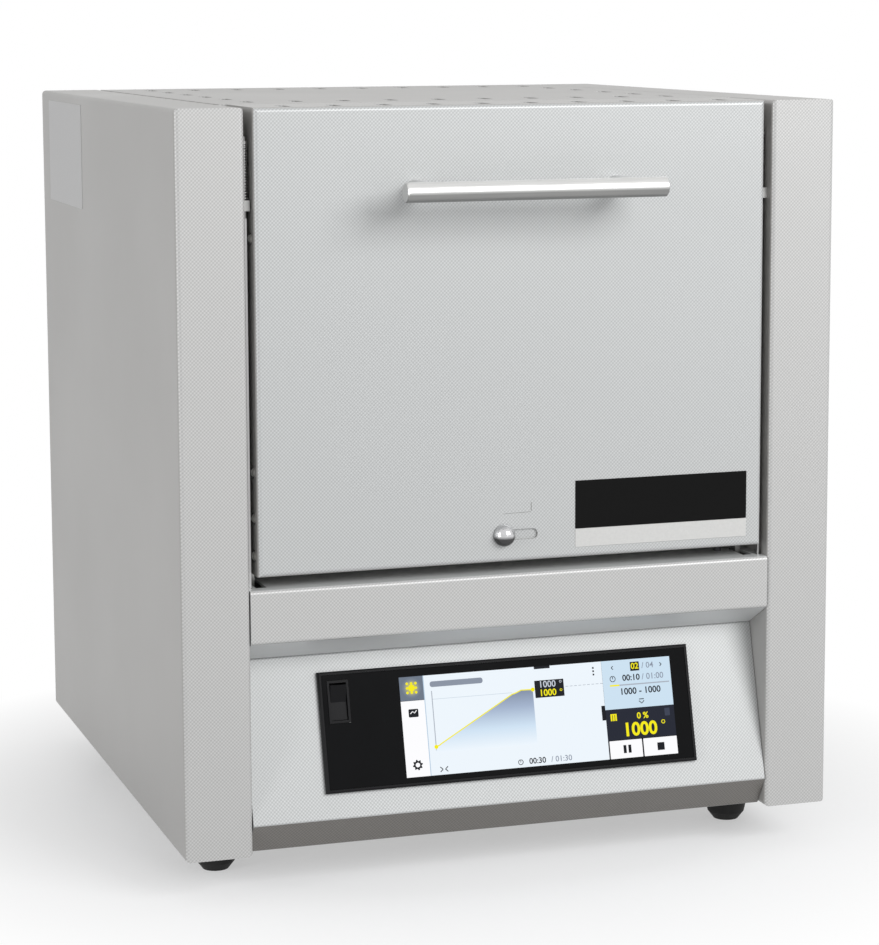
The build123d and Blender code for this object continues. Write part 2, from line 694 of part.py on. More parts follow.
def hinge_arm():
    """The left hinge arm: a plate in the door, and a crooked neck down through the rail to the pin."""
    x0 = -ARM_X
    x1 = x0 + ARM_T
    low = PIVOT_Z - ARM_HALF
    plate_z = DOOR_BOTTOM_Z + DOOR_SHEET
    arm = block(x0, x1, DOOR_SHEET + 1.4, NECK_REAR + 10.0, plate_z, ARM_TOP_Z)
    arm = fillet(arm.edges().filter_by(Axis.X).group_by(Axis.Z)[-1], 8.0)
    neck = block(x0, x1, NECK_FRONT, NECK_REAR, low, plate_z)
    crook = block(x0, x1, PIVOT_Y, NECK_REAR, low, PIVOT_Z + ARM_HALF)
    arm += neck + crook + bar_x(x0, x1, PIVOT_Y, PIVOT_Z, ARM_HALF * 2)
    lug_turn = 180.0 - STUD_ANGLE
    lug = Pos(0, PIVOT_Y, PIVOT_Z) * Rot(lug_turn, 0, 0) * block(x0, x1, 0, STUD_R, -2.3, 2.3)
    arm += lug + bar_x(x0, x1, STUD_Y, STUD_Z, 4.6)
    arm -= bar_x(x0 - 1, x1 + 1, STUD_Y, STUD_Z, STUD_D)
    return arm - bar_x(x0 - 1, x1 + 1, PIVOT_Y, PIVOT_Z, PIN_D + 2 * RUNNING_FIT)


def balance_stud():
    """The stud on the left hinge arm that bears on the balance rod's hook."""
    return bar_x(-ROD_X - STRAP_T / 2, -ARM_X + ARM_T, STUD_Y, STUD_Z, STUD_D)


def balance_rod():
    """The left balance rod: a hook under the stud, a flat strap, and a round end through the spring."""
    x0 = -ROD_X - STRAP_T / 2
    x1 = -ROD_X + STRAP_T / 2
    strap_top = GUIDE_Z - 4.0
    lip_top = STUD_Z - STUD_D / 2 - 0.45
    rod = block(x0, x1, ROD_Y - STRAP_W / 2, ROD_Y + STRAP_W / 2, lip_top - 3.0, strap_top)
    rod += block(x0, x1, PIVOT_Y - STUD_R - 0.6, ROD_Y, lip_top - 3.0, lip_top)
    rod += bar_z(strap_top - 6.0, SPRING_Z + SPRING_L + 4.0, -ROD_X, ROD_Y, ROD_D)
    washer = bar_z(SPRING_Z + SPRING_L, SPRING_Z + SPRING_L + 1.6, -ROD_X, ROD_Y, SPRING_D)
    return rod + washer


def balance_guide():
    """The fixed guide on the left pillar's flange, which the rod slides through and the spring sits on."""
    guide = block(
        -FLANGE_X, -ROD_X + SPRING_D / 2, ROD_Y - 4.0, ROD_Y + 4.0, GUIDE_Z, GUIDE_Z + GUIDE_H
    )
    return guide - bar_z(GUIDE_Z - 1, GUIDE_Z + GUIDE_H + 1, -ROD_X, ROD_Y, ROD_D + 0.2)


def balance_spring():
    """The left compression spring round the rod's upper end, with an eight-sided wire."""
    radius = (SPRING_D - SPRING_WIRE) / 2
    height = SPRING_L - SPRING_WIRE - 0.4
    path = Helix(pitch=height / SPRING_TURNS, height=height, radius=radius)
    start = Plane(origin=path @ 0, z_dir=path % 0)
    coil = sweep(start * RegularPolygon(SPRING_WIRE / 2, SPRING_WIRE_SIDES), path=path)
    return Pos(-ROD_X, ROD_Y, SPRING_Z + SPRING_WIRE / 2 + 0.2) * coil


def door_shell():
    """The door's outer sheet: front, sides, slotted top and bottom, open at the rear."""
    outer = block(-DOOR_X, DOOR_X, 0, DOOR_D, DOOR_BOTTOM_Z, DOOR_TOP_Z)
    outer = fillet(outer.edges().group_by(Axis.Y)[0], DOOR_BEND_R)
    t = DOOR_SHEET
    shell = outer - block(
        -DOOR_X + t, DOOR_X - t, t, DOOR_D + 1, DOOR_BOTTOM_Z + t, DOOR_TOP_Z - t
    )
    for x in vent_columns():
        shell -= vent(x, DOOR_VENT_Y, DOOR_TOP_Z)
    middle = (AIR_SLOT_LEFT + AIR_SLOT_RIGHT) / 2
    slot = Rot(90, 0, 0) * extrude(SlotOverall(AIR_SLOT_RIGHT - AIR_SLOT_LEFT, AIR_SLOT_H), 4, both=True)
    shell -= Pos(middle, 0, AIR_SLOT_Z) * slot
    for side in (-1, 1):
        neck_x = sorted((side * ARM_X, side * (ARM_X - ARM_T - 0.3)))
        neck_z = (DOOR_BOTTOM_Z - 1, DOOR_BOTTOM_Z + t)
        shell -= block(neck_x[0], neck_x[1], NECK_FRONT - 0.3, NECK_REAR + 0.3, neck_z[0], neck_z[1])
    return shell


def door_inner_plate():
    """The steel plate at the rear of the door, with an opening for the fibre block."""
    t = DOOR_SHEET
    half = DOOR_X - t
    plate = block(-half, half, DOOR_D - t, DOOR_D, DOOR_BOTTOM_Z + t, DOOR_TOP_Z - t)
    return plate - door_block_box(-DOOR_BLOCK_RIM, DOOR_D - 3, DOOR_D + 2)


def door_block_box(margin, y0, y1):
    """A box of the door block's width and height, grown by a margin."""
    half = DOOR_X - DOOR_BLOCK_EDGE_X + margin
    top = DOOR_TOP_Z - DOOR_BLOCK_EDGE_Z
    return block(-half, half, y0, y1, DOOR_BLOCK_BOTTOM_Z - margin, top + margin)


def door_insulation():
    """The fibre block of the door, stepped so that the inner plate holds its rim."""
    body = door_block_box(0.0, DOOR_AIR_GAP, DOOR_D - DOOR_SHEET)
    body += door_block_box(-DOOR_BLOCK_RIM, DOOR_D - DOOR_SHEET, BLOCK_Y)
    return body - bar_y(DOOR_AIR_GAP - 1, BLOCK_Y + 1, 0, AIR_TUBE_Z, AIR_TUBE_D)


def air_tube():
    """The ceramic tube that leads air through the door's fibre block."""
    tube = bar_y(DOOR_AIR_GAP - 6.0, BLOCK_Y, 0, AIR_TUBE_Z, AIR_TUBE_D)
    return tube - bar_y(DOOR_AIR_GAP - 7.0, BLOCK_Y + 1, 0, AIR_TUBE_Z, AIR_TUBE_BORE)


def air_slide():
    """The folded slide: a strip behind the door's slot, and a plate that closes the air tube."""
    fold_z = AIR_SLOT_Z + 7.6
    path = [
        (AIR_PLATE_Y, AIR_PLATE_TOP),
        (AIR_PLATE_Y, fold_z),
        (AIR_FRONT_Y, fold_z),
        (AIR_FRONT_Y, AIR_PLATE_BOTTOM),
    ]
    middle = -AIR_TRAVEL / 2
    slide = bent_sheet(path, AIR_PLATE_T, 2.0, middle - AIR_PLATE_HALF_W, middle + AIR_PLATE_HALF_W)
    slide -= bar_y(AIR_PLATE_Y - 1, AIR_PLATE_Y + 4, -AIR_TRAVEL, AIR_TUBE_Z, AIR_TUBE_BORE)
    return slide - bar_y(0, AIR_FRONT_Y + 4, AIR_KNOB_X, AIR_SLOT_Z, 4.0)


def air_knob():
    """The dome knob of the air inlet, with its shaft through the door's slot and the slide."""
    dome = Pos(AIR_KNOB_X, -0.4, AIR_SLOT_Z) * Sphere(AIR_KNOB_D / 2)
    reach = AIR_KNOB_D
    dome &= block(
        AIR_KNOB_X - reach, AIR_KNOB_X + reach, -reach, -0.4, AIR_SLOT_Z - reach, AIR_SLOT_Z + reach
    )
    shaft = bar_y(-1.0, AIR_FRONT_Y, AIR_KNOB_X, AIR_SLOT_Z, AIR_SLOT_H - 0.8)
    spigot = bar_y(AIR_FRONT_Y - 1, AIR_FRONT_Y + AIR_PLATE_T, AIR_KNOB_X, AIR_SLOT_Z, 4.0)
    return dome + shaft + spigot


def air_guides():
    """The two folded strips behind the door's front that the slide's edges run in."""
    half = AIR_PLATE_HALF_W + AIR_TRAVEL
    gap = 0.32
    foot = 6.0
    lip = 3.0
    rear = AIR_PLATE_Y + AIR_PLATE_T + gap
    edge = AIR_PLATE_TOP + gap
    upper = [(DOOR_SHEET, edge + foot), (DOOR_SHEET, edge), (rear, edge), (rear, edge - lip)]
    rear = AIR_FRONT_Y + AIR_PLATE_T + gap
    edge = AIR_PLATE_BOTTOM - gap
    lower = [(rear, edge + lip), (rear, edge), (DOOR_SHEET, edge), (DOOR_SHEET, edge - foot)]
    return group([bent_sheet(path, AIR_GUIDE_SHEET, AIR_GUIDE_BEND, -half, half) for path in (upper, lower)])


def door_screws():
    """Four dome-head screws on each side of the door, and the two handle screws behind its front."""
    screws = []
    for z in SIDE_SCREW_Z:
        head = dome_head_x(-DOOR_X, SIDE_SCREW_Y, z, SIDE_SCREW_D, SIDE_SCREW_H)
        screws += [head, other_side(head)]
    for x in (-POST_SPACING / 2, POST_SPACING / 2):
        screws.append(bar_y(DOOR_SHEET, DOOR_SHEET + POST_NUT_T, x, HANDLE_Z, POST_NUT_D))
    return group(screws)


def handle_bar():
    """The round bar of the door handle, with softened ends."""
    bar = bar_x(-HANDLE_L / 2, HANDLE_L / 2, -HANDLE_Y, HANDLE_Z, HANDLE_D)
    ends = bar.edges().group_by(Axis.X)
    return chamfer(list(ends[0]) + list(ends[-1]), 0.6)


def handle_posts():
    """The two posts of the handle, coped to the bar."""
    posts = []
    for side in (-1, 1):
        x = side * POST_SPACING / 2
        post = bar_y(-HANDLE_Y, 0, x, HANDLE_Z, POST_D)
        posts.append(post - bar_x(x - POST_D, x + POST_D, -HANDLE_Y, HANDLE_Z, HANDLE_D))
    return group(posts)


def display_bezel():
    """The raised black frame of the display, with a rebate for the glass."""
    frame = on_slope(0, BEZEL_MID, 0, BEZEL_T, BEZEL_W, BEZEL_H)
    rim = frame.edges().group_by(Axis((0, 0, 0), slope.z_dir))[-1]
    frame = chamfer(rim, 0.8)
    frame -= on_slope(0, BEZEL_MID, 1.0, BEZEL_T + 1, BEZEL_W - 3.6, BEZEL_H - 3.6)
    return frame - on_slope(0, BEZEL_MID, -1, 2, BEZEL_W - 9.0, BEZEL_H - 9.0)


def display_glass():
    """The cover glass, with the cut-out for the rocker switch."""
    glass = on_slope(0, BEZEL_MID, 1.0, 1.0 + GLASS_T, BEZEL_W - 4.0, BEZEL_H - 4.0)
    return glass - on_slope(SWITCH_X, SWITCH_MID, 0, 4, SWITCH_W + 0.3, SWITCH_H + 0.3)


def display_module():
    """The display unit behind the glass."""
    return on_slope(LCD_X, BEZEL_MID, 1.0 - MODULE_T, 1.0, LCD_W + 4.0, LCD_H + 2.0)


def control_board():
    """The controller board behind the display, on its spacers."""
    back = -BOARD_DEPTH - BOARD_T
    spacer = BOARD_DEPTH - MODULE_T + 1.0
    board = on_slope(LCD_X, BEZEL_MID, back, -BOARD_DEPTH, LCD_W, LCD_H)
    for dx in (-1, 1):
        for ds in (-1, 1):
            x = LCD_X + dx * (LCD_W / 2 - SPACER_D)
            s = BEZEL_MID + ds * (LCD_H / 2 - SPACER_D)
            board += slope.location * Pos(x, s, spacer / 2 - BOARD_DEPTH) * Cylinder(SPACER_D / 2, spacer)
    for place, width in ((-0.35, 0.18), (0.0, 0.15), (0.26, 0.24)):
        x = LCD_X + place * LCD_W
        board += on_slope(x, BEZEL_MID, back - BOARD_PART_H, back, width * LCD_W, LCD_H * 0.4)
    return board


def switch_housing():
    """The housing of the power switch, with the pocket and the pin holes of its rocker."""
    body = on_slope(SWITCH_X, SWITCH_MID, -18.0, BEZEL_T + 0.2, SWITCH_W, SWITCH_H)
    body -= on_slope(SWITCH_X, SWITCH_MID, -SWITCH_POCKET, BEZEL_T + 1, SWITCH_W - 2.6, SWITCH_H - 2.8)
    pins = slope.location * Pos(SWITCH_X, SWITCH_MID, ROCKER_PIVOT_H) * Rot(0, 90, 0)
    return body - pins * Cylinder(1.0 + RUNNING_FIT, SWITCH_W - 1.0)


def rocker():
    """The rocker of the power switch, tipped to the side that is on."""
    w = SWITCH_W - 3.2
    reach = (SWITCH_H - 2.8) / 2 - 0.7
    top = BEZEL_T - ROCKER_PIVOT_H
    outline = Polyline(
        (-reach, top + 0.2),
        (0, top - 1.2),
        (reach, top + 0.2),
        (reach * 0.6, -3.0),
        (-reach * 0.6, -3.0),
        close=True,
    )
    paddle = extrude(Plane.YZ.offset(-w / 2) * make_face(outline), w)
    paddle += Rot(0, 90, 0) * Cylinder(1.0, SWITCH_W - 1.6)
    return slope.location * Pos(SWITCH_X, SWITCH_MID, ROCKER_PIVOT_H) * Rot(ROCKER_TILT, 0, 0) * paddle


def casing_screws():
    """The screws of the feet and of the rear panel."""
    screws = foot_screws()
    for x in (REAR_SCREW_INSET - FLANGE_X, FLANGE_X - REAR_SCREW_INSET):
        for share in (0.05, 0.35, 0.65, 0.95):
            screws.append(bar_y(CASE_D, CASE_D + 2.2, x, share * CASE_H, REAR_SCREW_D))
    return group(screws)


def build():
    """All nodes by name, in casing coordinates."""
    left = side_casing()
    nodes = {
        "left_side_casing": left,
        "right_side_casing": other_side(left),
        "top_cover": top_cover(),
        "base_plate": base_plate(),
        "rear_panel": rear_panel(),
        "front_rail": front_rail(),
        "control_panel": control_panel(),
        "rubber_feet": feet(),
        "casing_screws": casing_screws(),
        "partition_plate": partition(),
        "collar_plate": collar_plate(),
        "chamber_shell": chamber_shell(),
        "floor_tile": floor_tile(),
        "heating_plate_left": heating_plate(),
        "heating_plate_right": other_side(heating_plate()),
        "heater_leads": heater_leads(),
        "exhaust_tube": exhaust_tube(),
        "exhaust_flange": exhaust_flange(),
        "thermocouple": thermocouple(),
        "thermocouple_head": thermocouple_head(),
        "mains_inlet": mains_inlet(),
        "door_switch": door_switch(),
        "door_switch_plunger": door_switch_plunger(),
        "door_shell": door_shell(),
        "door_inner_plate": door_inner_plate(),
        "door_insulation": door_insulation(),
        "door_screws": door_screws(),
        "handle_bar": handle_bar(),
        "handle_posts": handle_posts(),
        "air_tube": air_tube(),
        "air_slide": air_slide(),
        "air_knob": air_knob(),
        "air_guides": air_guides(),
        "display_bezel": display_bezel(),
        "display_glass": display_glass(),
        "display_module": display_module(),
        "control_board": control_board(),
        "switch_housing": switch_housing(),
        "rocker": rocker(),
    }
    nodes |= insulation()
    nodes |= electronics()
    sided = {
        "hinge_arm": hinge_arm(),
        "balance_rod": balance_rod(),
        "balance_spring": balance_spring(),
    }
    for name, part in sided.items():
        nodes[name + "_left"] = part
        nodes[name + "_right"] = other_side(part)
    for name, part in {
        "hinge_brackets": hinge_bracket(),
        "hinge_pins": group([hinge_pin(), hinge_clip()]),
        "balance_studs": balance_stud(),
        "balance_guides": balance_guide(),
    }.items():
        nodes[name] = group([part, other_side(part)])
    return nodes


os.makedirs("parts", exist_ok=True)
for node_name, shape in build().items():
    export_step(Pos(0, FRAME_SHIFT_Y, FOOT_H) * shape, f"parts/{node_name}.step")
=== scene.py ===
import math

import bmesh
import bpy
from mathutils import Matrix, Vector


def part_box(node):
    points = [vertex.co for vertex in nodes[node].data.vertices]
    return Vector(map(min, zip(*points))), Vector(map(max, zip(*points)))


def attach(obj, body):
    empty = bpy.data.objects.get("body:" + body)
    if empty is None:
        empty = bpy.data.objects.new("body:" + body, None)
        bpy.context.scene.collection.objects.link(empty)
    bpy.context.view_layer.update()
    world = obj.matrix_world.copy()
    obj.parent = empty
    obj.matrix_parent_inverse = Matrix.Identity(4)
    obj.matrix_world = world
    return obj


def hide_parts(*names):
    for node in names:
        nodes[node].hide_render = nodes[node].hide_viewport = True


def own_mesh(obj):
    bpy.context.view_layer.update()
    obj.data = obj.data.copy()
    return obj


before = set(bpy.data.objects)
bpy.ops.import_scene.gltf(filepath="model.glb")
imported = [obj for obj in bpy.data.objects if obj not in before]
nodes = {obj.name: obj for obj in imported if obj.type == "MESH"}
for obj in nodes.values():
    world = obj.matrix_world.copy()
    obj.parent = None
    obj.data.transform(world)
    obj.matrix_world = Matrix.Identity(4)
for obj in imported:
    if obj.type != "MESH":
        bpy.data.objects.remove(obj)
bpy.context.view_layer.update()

# Sizes are in millimetres and casing coordinates: X 0 on the centre plane, Y 0 on the front plane with the
# rear at +Y, Z 0 at the casing's underside. FRONT_Y, UNDER_Z and values times MM are in metres.
MM = 0.001
FRONT_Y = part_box("left_side_casing")[0].y
UNDER_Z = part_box("left_side_casing")[0].z
HALF_W = -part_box("left_side_casing")[0].x / MM

# Camera, in casing coordinates, as fitted to the photograph
IMAGE_H = 945
SENSOR = 36.0
FOCAL_PX = 2839.1
CENTRE_PX_Y = 397.5
CAMERA_AT = (-528.7, -1475.0, 462.1)
CAMERA_YAW = 18.147
CAMERA_PITCH = 7.747
CAMERA_ROLL = -0.222
# How far the camera sees, in metres
CAMERA_REACH = 50

# Slanted panel, the top of its glass, and the lift and thickness of the picture's layers on the glass
PANEL_RUN = 24.2
PANEL_FOOT_Z = 17.0
PANEL_RISE = 89.0
GLASS_TOP = 2.7
INK_LIFT = 0.01
INK = 0.03

# Display picture on the glass, in the panel's plane: x from the centre, s up the slope
SCREEN_LEFT = -64.5
SCREEN_RIGHT = 100.0
SCREEN_LOW = 19.2
SCREEN_HIGH = 75.4
TAB_RIGHT = -50.5
TAB_X = -57.5
SUN_S = 69.0
GEAR_S = 25.8
SIDE_LEFT = 57.5
SIDE_SPLIT = 47.4
BUTTON_TOP = 29.4

# Heating curve on the display, as (x, s)
CURVE_START = (-45.8, 35.0)
CURVE_BEND = (-43.6, 35.9)
CLIMB_START = (-42.0, 36.9)
CLIMB_END = (2.0, 60.9)
CLIMB_STEPS = 8
SHOULDER_RUN = 5.4
SHOULDER_RISE = 1.9
SHOULDER_STEPS = 6
CURVE_END = 14.6
CURVE_LEVEL = 62.6
CURVE_FOOT = 31.6
FADE_LOW = 32.0
FADE_HIGH = 64.0

# Plates on the door's front, as left, right, low and high
BLACK_PLATE = (35.0, 140.0, 172.6, 200.0)
PALE_PLATE = (35.0, 140.0, 162.0, 172.5)
PLATE_CORNER = 0.4
PLATE_THICKNESS = 0.35
PLATE_EDGE = 0.12

# Plate on the left side, as rear, front, low and high
SIDE_PLATE = (-361.0, -255.0, 342.0, 406.0)
SIDE_PLATE_CORNER = 1.5
SIDE_PLATE_THICKNESS = 0.25
SIDE_PLATE_EDGE = 0.1

# Engraved marks over the air slide's knob
MARK_LINE = ((-7.8, 183.5), (8.4, 183.9))
MARK_LINE_WIDTH = 0.22
MARK_TICK = (8.4, 8.8, 184.4, 189.2)
MARK_HEIGHT = 0.03

# Steps of round outlines, and where a nearly closed ring starts and how far it goes round, in degrees
CIRCLE_STEPS = 24
CORNER_STEPS = 5
GEAR_STEPS = 32
RING_STEPS = 20
RING_START = 80
RING_SWEEP = 350

# Emboss of the sheet: fine slanted rows of dots on the faces that look forward
EMBOSS_PITCH = 1.45 * MM
EMBOSS_RISING = 0.6
EMBOSS_FALLING = 0.4
FORWARD_COSINE = 0.55
# Faces that look further down than this take the skirt's darker tone: painted shade
SKIRT_SHADE_COSINE = -0.3

# Rows of dots in the screen's light, and the reach of the glow round the chosen tab's sign
SCREEN_ROW_PITCH = 0.22 * MM
SCREEN_GLOW = 1.0
TAB_GLOW_REACH = 6.0 * MM

# Balance springs: the wire, the coils, the steps of each coil, and the share at each end where the turns lie
# flat
SPRING_WIRE = 0.45 * MM
SPRING_COILS = 20
SPRING_COIL_STEPS = 16
SPRING_FLAT_END = 0.03

# Floor: half its side and the reach of its fade, in metres, and how white it is near the object
FLOOR_HALF = 12.0
FLOOR_FADE_REACH = 1.6
FLOOR_NEAR_WHITE = 0.45

# Strength of the white room as light on the object, and as the background
ROOM_LIGHT = 0.42
ROOM_BACKGROUND = 1.0

DOOR = "door"
CASING = "casing"


def spot(x, y, z):
    """A point in casing coordinates as a point of the frame, in metres."""
    return Vector((x * MM, FRONT_Y + y * MM, UNDER_Z + z * MM))


def plane_matrix(origin, right, up):
    """Maps (u, v, h) in millimetres on a plane to the frame in metres, with h out of the plane."""
    right = Vector(right).normalized()
    up = Vector(up).normalized()
    out = right.cross(up)
    turn = Matrix((right, up, out)).transposed().to_4x4()
    return Matrix.Translation(origin) @ turn @ Matrix.Scale(MM, 4)


ON_DOOR = plane_matrix(spot(0, 0, 0), (1, 0, 0), (0, 0, 1))
ON_SLOPE = plane_matrix(spot(0, 0, PANEL_FOOT_Z), (1, 0, 0), (0, PANEL_RUN, PANEL_RISE))
ON_LEFT = plane_matrix(spot(-HALF_W, 0, 0), (0, -1, 0), (0, 0, 1))


class Nodes:
    """A material's node tree with short calls to add and join nodes."""

    # sockets of a Mix node that mixes colours
    MIX_FACTOR = 0
    MIX_A = 6
    MIX_B = 7
    MIX_RESULT = 2

    def __init__(self, name):
        self.material = bpy.data.materials.new(name)
        self.material.use_nodes = True
        self.tree = self.material.node_tree
        self.shader = self.tree.nodes["Principled BSDF"]

    def add(self, kind, **settings):
        node = self.tree.nodes.new(kind)
        for key, value in settings.items():
            setattr(node, key, value)
        return node

    def join(self, source, target):
        self.tree.links.new(source, target)

    def set(self, **values):
        for key, value in values.items():
            self.shader.inputs[key.replace("_", " ")].default_value = value

    def math(self, operation, a, b=None):
        node = self.add("ShaderNodeMath", operation=operation)
        for index, value in enumerate((a, b)):
            if value is None:
                continue
            if isinstance(value, (int, float)):
                node.inputs[index].default_value = value
            else:
                self.join(value, node.inputs[index])
        return node.outputs[0]

    def place(self):
        """The place in the frame, in metres."""
        return self.add("ShaderNodeTexCoord").outputs["Object"]

    def xyz(self, vector):
        node = self.add("ShaderNodeSeparateXYZ")
        self.join(vector, node.inputs[0])
        return node.outputs

    def facing(self):
        """The parts of the surface's normal along X, Y and Z."""
        return self.xyz(self.add("ShaderNodeNewGeometry").outputs["Normal"])

    def noise(self, scale, detail, stretch=(1, 1, 1), rough=0.5):
        mapping = self.add("ShaderNodeMapping")
        mapping.inputs["Scale"].default_value = stretch
        self.join(self.place(), mapping.inputs["Vector"])
        noise = self.add("ShaderNodeTexNoise")
        noise.inputs["Scale"].default_value = scale
        noise.inputs["Detail"].default_value = detail
        noise.inputs["Roughness"].default_value = rough
        self.join(mapping.outputs[0], noise.inputs["Vector"])
        return noise.outputs["Fac"]

    def ramp(self, factor, stops):
        node = self.add("ShaderNodeValToRGB")
        elements = node.color_ramp.elements
        while len(elements) < len(stops):
            elements.new(0.5)
        for element, (position, colour) in zip(elements, stops):
            element.position = position
            element.color = (*colour, 1)
        self.join(factor, node.inputs["Fac"])
        return node.outputs["Color"]

    def mix(self, factor, a, b):
        node = self.add("ShaderNodeMix", data_type="RGBA")
        for value, slot in ((factor, self.MIX_FACTOR), (a, self.MIX_A), (b, self.MIX_B)):
            if isinstance(value, (int, float)):
                node.inputs[slot].default_value = value
            elif isinstance(value, tuple):
                node.inputs[slot].default_value = (*value, 1)
            else:
                self.join(value, node.inputs[slot])
        return node.outputs[self.MIX_RESULT]

    def multiply(self, factor, a, b):
        """Colour a times colour b, as far as the factor says."""
        node = self.add("ShaderNodeMix", data_type="RGBA", blend_type="MULTIPLY")
        node.inputs[self.MIX_FACTOR].default_value = factor
        self.join(a, node.inputs[self.MIX_A])
        self.join(b, node.inputs[self.MIX_B])
        return node.outputs[self.MIX_RESULT]

    def paint(self, colour):
        self.join(colour, self.shader.inputs["Base Color"])

    def roughen(self, low, factor, span):
        """Roughness that goes from low to low + span with the factor."""
        self.join(self.math("ADD", low, self.math("MULTIPLY", factor, span)), self.shader.inputs["Roughness"])

    def glow(self, colour):
        self.join(colour, self.shader.inputs["Emission Color"])

    def bump(self, height, strength, distance):
        node = self.add("ShaderNodeBump")
        node.inputs["Strength"].default_value = strength
        node.inputs["Distance"].default_value = distance
        self.join(height, node.inputs["Height"])
        self.join(node.outputs[0], self.shader.inputs["Normal"])


def srgb(code):
    """A colour such as CFD1D1 as linear values."""
    parts = [int(code[i:i + 2], 16) / 255 for i in (0, 2, 4)]
    return tuple(c / 12.92 if c <= 0.04045 else ((c + 0.055) / 1.055) ** 2.4 for c in parts)


def scaled(colour, factor):
    return tuple(c * factor for c in colour)


def steel_sheet(name, front, side, skirt_shade=None):
    """Light grey steel sheet: the faces that look forward are embossed with fine slanted rows of dots, and
    the others are plain and satin, in the tone side. Faces of a skirt that look down may take a darker tone:
    painted shade."""
    m = Nodes(name)
    m.set(Metallic=0.25)
    cloud = m.noise(9.0, 3.0)
    grain = m.noise(900.0, 2.0)
    x, _, z = m.xyz(m.place())
    turn = 2 * math.pi / (EMBOSS_PITCH * math.sqrt(2))
    rising = m.math("SINE", m.math("MULTIPLY", m.math("SUBTRACT", z, x), turn))
    falling = m.math("SINE", m.math("MULTIPLY", m.math("ADD", x, z), turn))
    rising = m.math("MULTIPLY", rising, EMBOSS_RISING)
    falling = m.math("MULTIPLY", falling, EMBOSS_FALLING)
    _, facing_y, facing_z = m.facing()
    forward = m.math("GREATER_THAN", m.math("MULTIPLY", facing_y, -1.0), FORWARD_COSINE)
    dots = m.math("MULTIPLY", m.math("ADD", rising, falling), forward)
    height = m.math("ADD", dots, m.math("MULTIPLY", grain, 0.25))
    # The dots also change the colour: painted shade in their hollows and painted light on their crests
    tone = m.math("ADD", 0.5, m.math("MULTIPLY", dots, 0.5))
    embossed = m.mix(tone, scaled(front, 0.76), scaled(front, 1.12))
    plain = m.mix(grain, scaled(side, 0.98), scaled(side, 1.02))
    # Painted shade: faces that look down take the darker skirt tone
    if skirt_shade:
        painted_shade_below = m.math("LESS_THAN", facing_z, SKIRT_SHADE_COSINE)
        embossed = m.mix(painted_shade_below, embossed, m.mix(tone, scaled(skirt_shade, 0.75), scaled(skirt_shade, 1.2)))
    sheet = m.mix(forward, plain, embossed)
    m.paint(m.mix(m.math("MULTIPLY", cloud, 0.08), sheet, scaled(side, 0.6)))
    m.roughen(0.36, cloud, 0.12)
    m.bump(height, 0.35, 0.00006)
    return m.material


def brushed(name, colour, stretch, rough=0.3, strength=0.25, painted_shade_below=1.0):
    """Steel brushed along one way, with fine lines in its colour, roughness and height. A round bar may be
    given painted shade: its colour is darker underneath, by the given factor."""
    m = Nodes(name)
    m.set(Metallic=0.95)
    lines = m.noise(700.0, 3.0, stretch)
    cloud = m.noise(14.0, 2.0)
    tone = m.mix(lines, scaled(colour, 0.80), scaled(colour, 1.12))
    tone = m.mix(m.math("MULTIPLY", cloud, 0.25), tone, scaled(colour, 0.7))
    # Painted shade: the colour is darker where the surface looks down
    if painted_shade_below < 1.0:
        up = m.facing()[2]
        share = m.math("ADD", m.math("MULTIPLY", up, 0.5), 0.5)
        dark = (painted_shade_below,) * 3
        light = (1, 1, 1)
        shade = m.ramp(share, [(0.0, dark), (0.38, dark), (0.52, light), (1.0, light)])
        tone = m.multiply(1.0, tone, shade)
    m.paint(tone)
    m.roughen(rough - 0.08, lines, 0.2)
    m.bump(lines, strength, 0.00004)
    return m.material


def polished(name, colour):
    m = Nodes(name)
    m.set(Metallic=1.0)
    smear = m.noise(60.0, 3.0)
    m.paint(m.mix(smear, scaled(colour, 0.9), colour))
    m.roughen(0.08, smear, 0.12)
    m.bump(m.noise(1200.0, 2.0), 0.08, 0.00002)
    return m.material


def zinc_sheet(name, colour):
    """Zinc-coated inner sheet with a faint crystal pattern."""
    m = Nodes(name)
    m.set(Metallic=0.8)
    cells = m.add("ShaderNodeTexVoronoi")
    cells.inputs["Scale"].default_value = 110.0
    m.join(m.place(), cells.inputs["Vector"])
    grey = m.add("ShaderNodeRGBToBW")
    m.join(cells.outputs["Color"], grey.inputs[0])
    m.paint(m.mix(grey.outputs[0], scaled(colour, 0.78), scaled(colour, 1.08)))
    m.roughen(0.34, grey.outputs[0], 0.16)
    m.bump(m.noise(500.0, 2.0), 0.12, 0.00004)
    return m.material


def fibre_board(name, colour):
    """Ceramic fibre: matt, with short curled fibres and slightly scorched patches."""
    m = Nodes(name)
    m.set(Roughness=0.95, Sheen_Weight=0.15)
    strands = m.noise(420.0, 6.0, (1.0, 1.0, 0.35), 0.7)
    patches = m.noise(12.0, 4.0)
    tone = m.mix(strands, scaled(colour, 0.86), colour)
    m.paint(m.mix(m.math("MULTIPLY", patches, 0.35), tone, scaled(srgb("CDB795"), 0.95)))
    m.bump(strands, 0.7, 0.0006)
    return m.material


def fired_ceramic(name, colour, rough=0.7):
    """Fired ceramic with a fine grain and darker specks."""
    m = Nodes(name)
    m.set(Roughness=rough)
    grain = m.noise(1500.0, 3.0)
    specks = m.ramp(m.noise(650.0, 2.0), [(0.0, (1, 1, 1)), (0.64, (1, 1, 1)), (0.70, (0.72, 0.66, 0.58))])
    tone = m.mix(grain, scaled(colour, 0.88), colour)
    m.paint(m.multiply(0.7, tone, specks))
    m.bump(grain, 0.35, 0.00012)
    return m.material


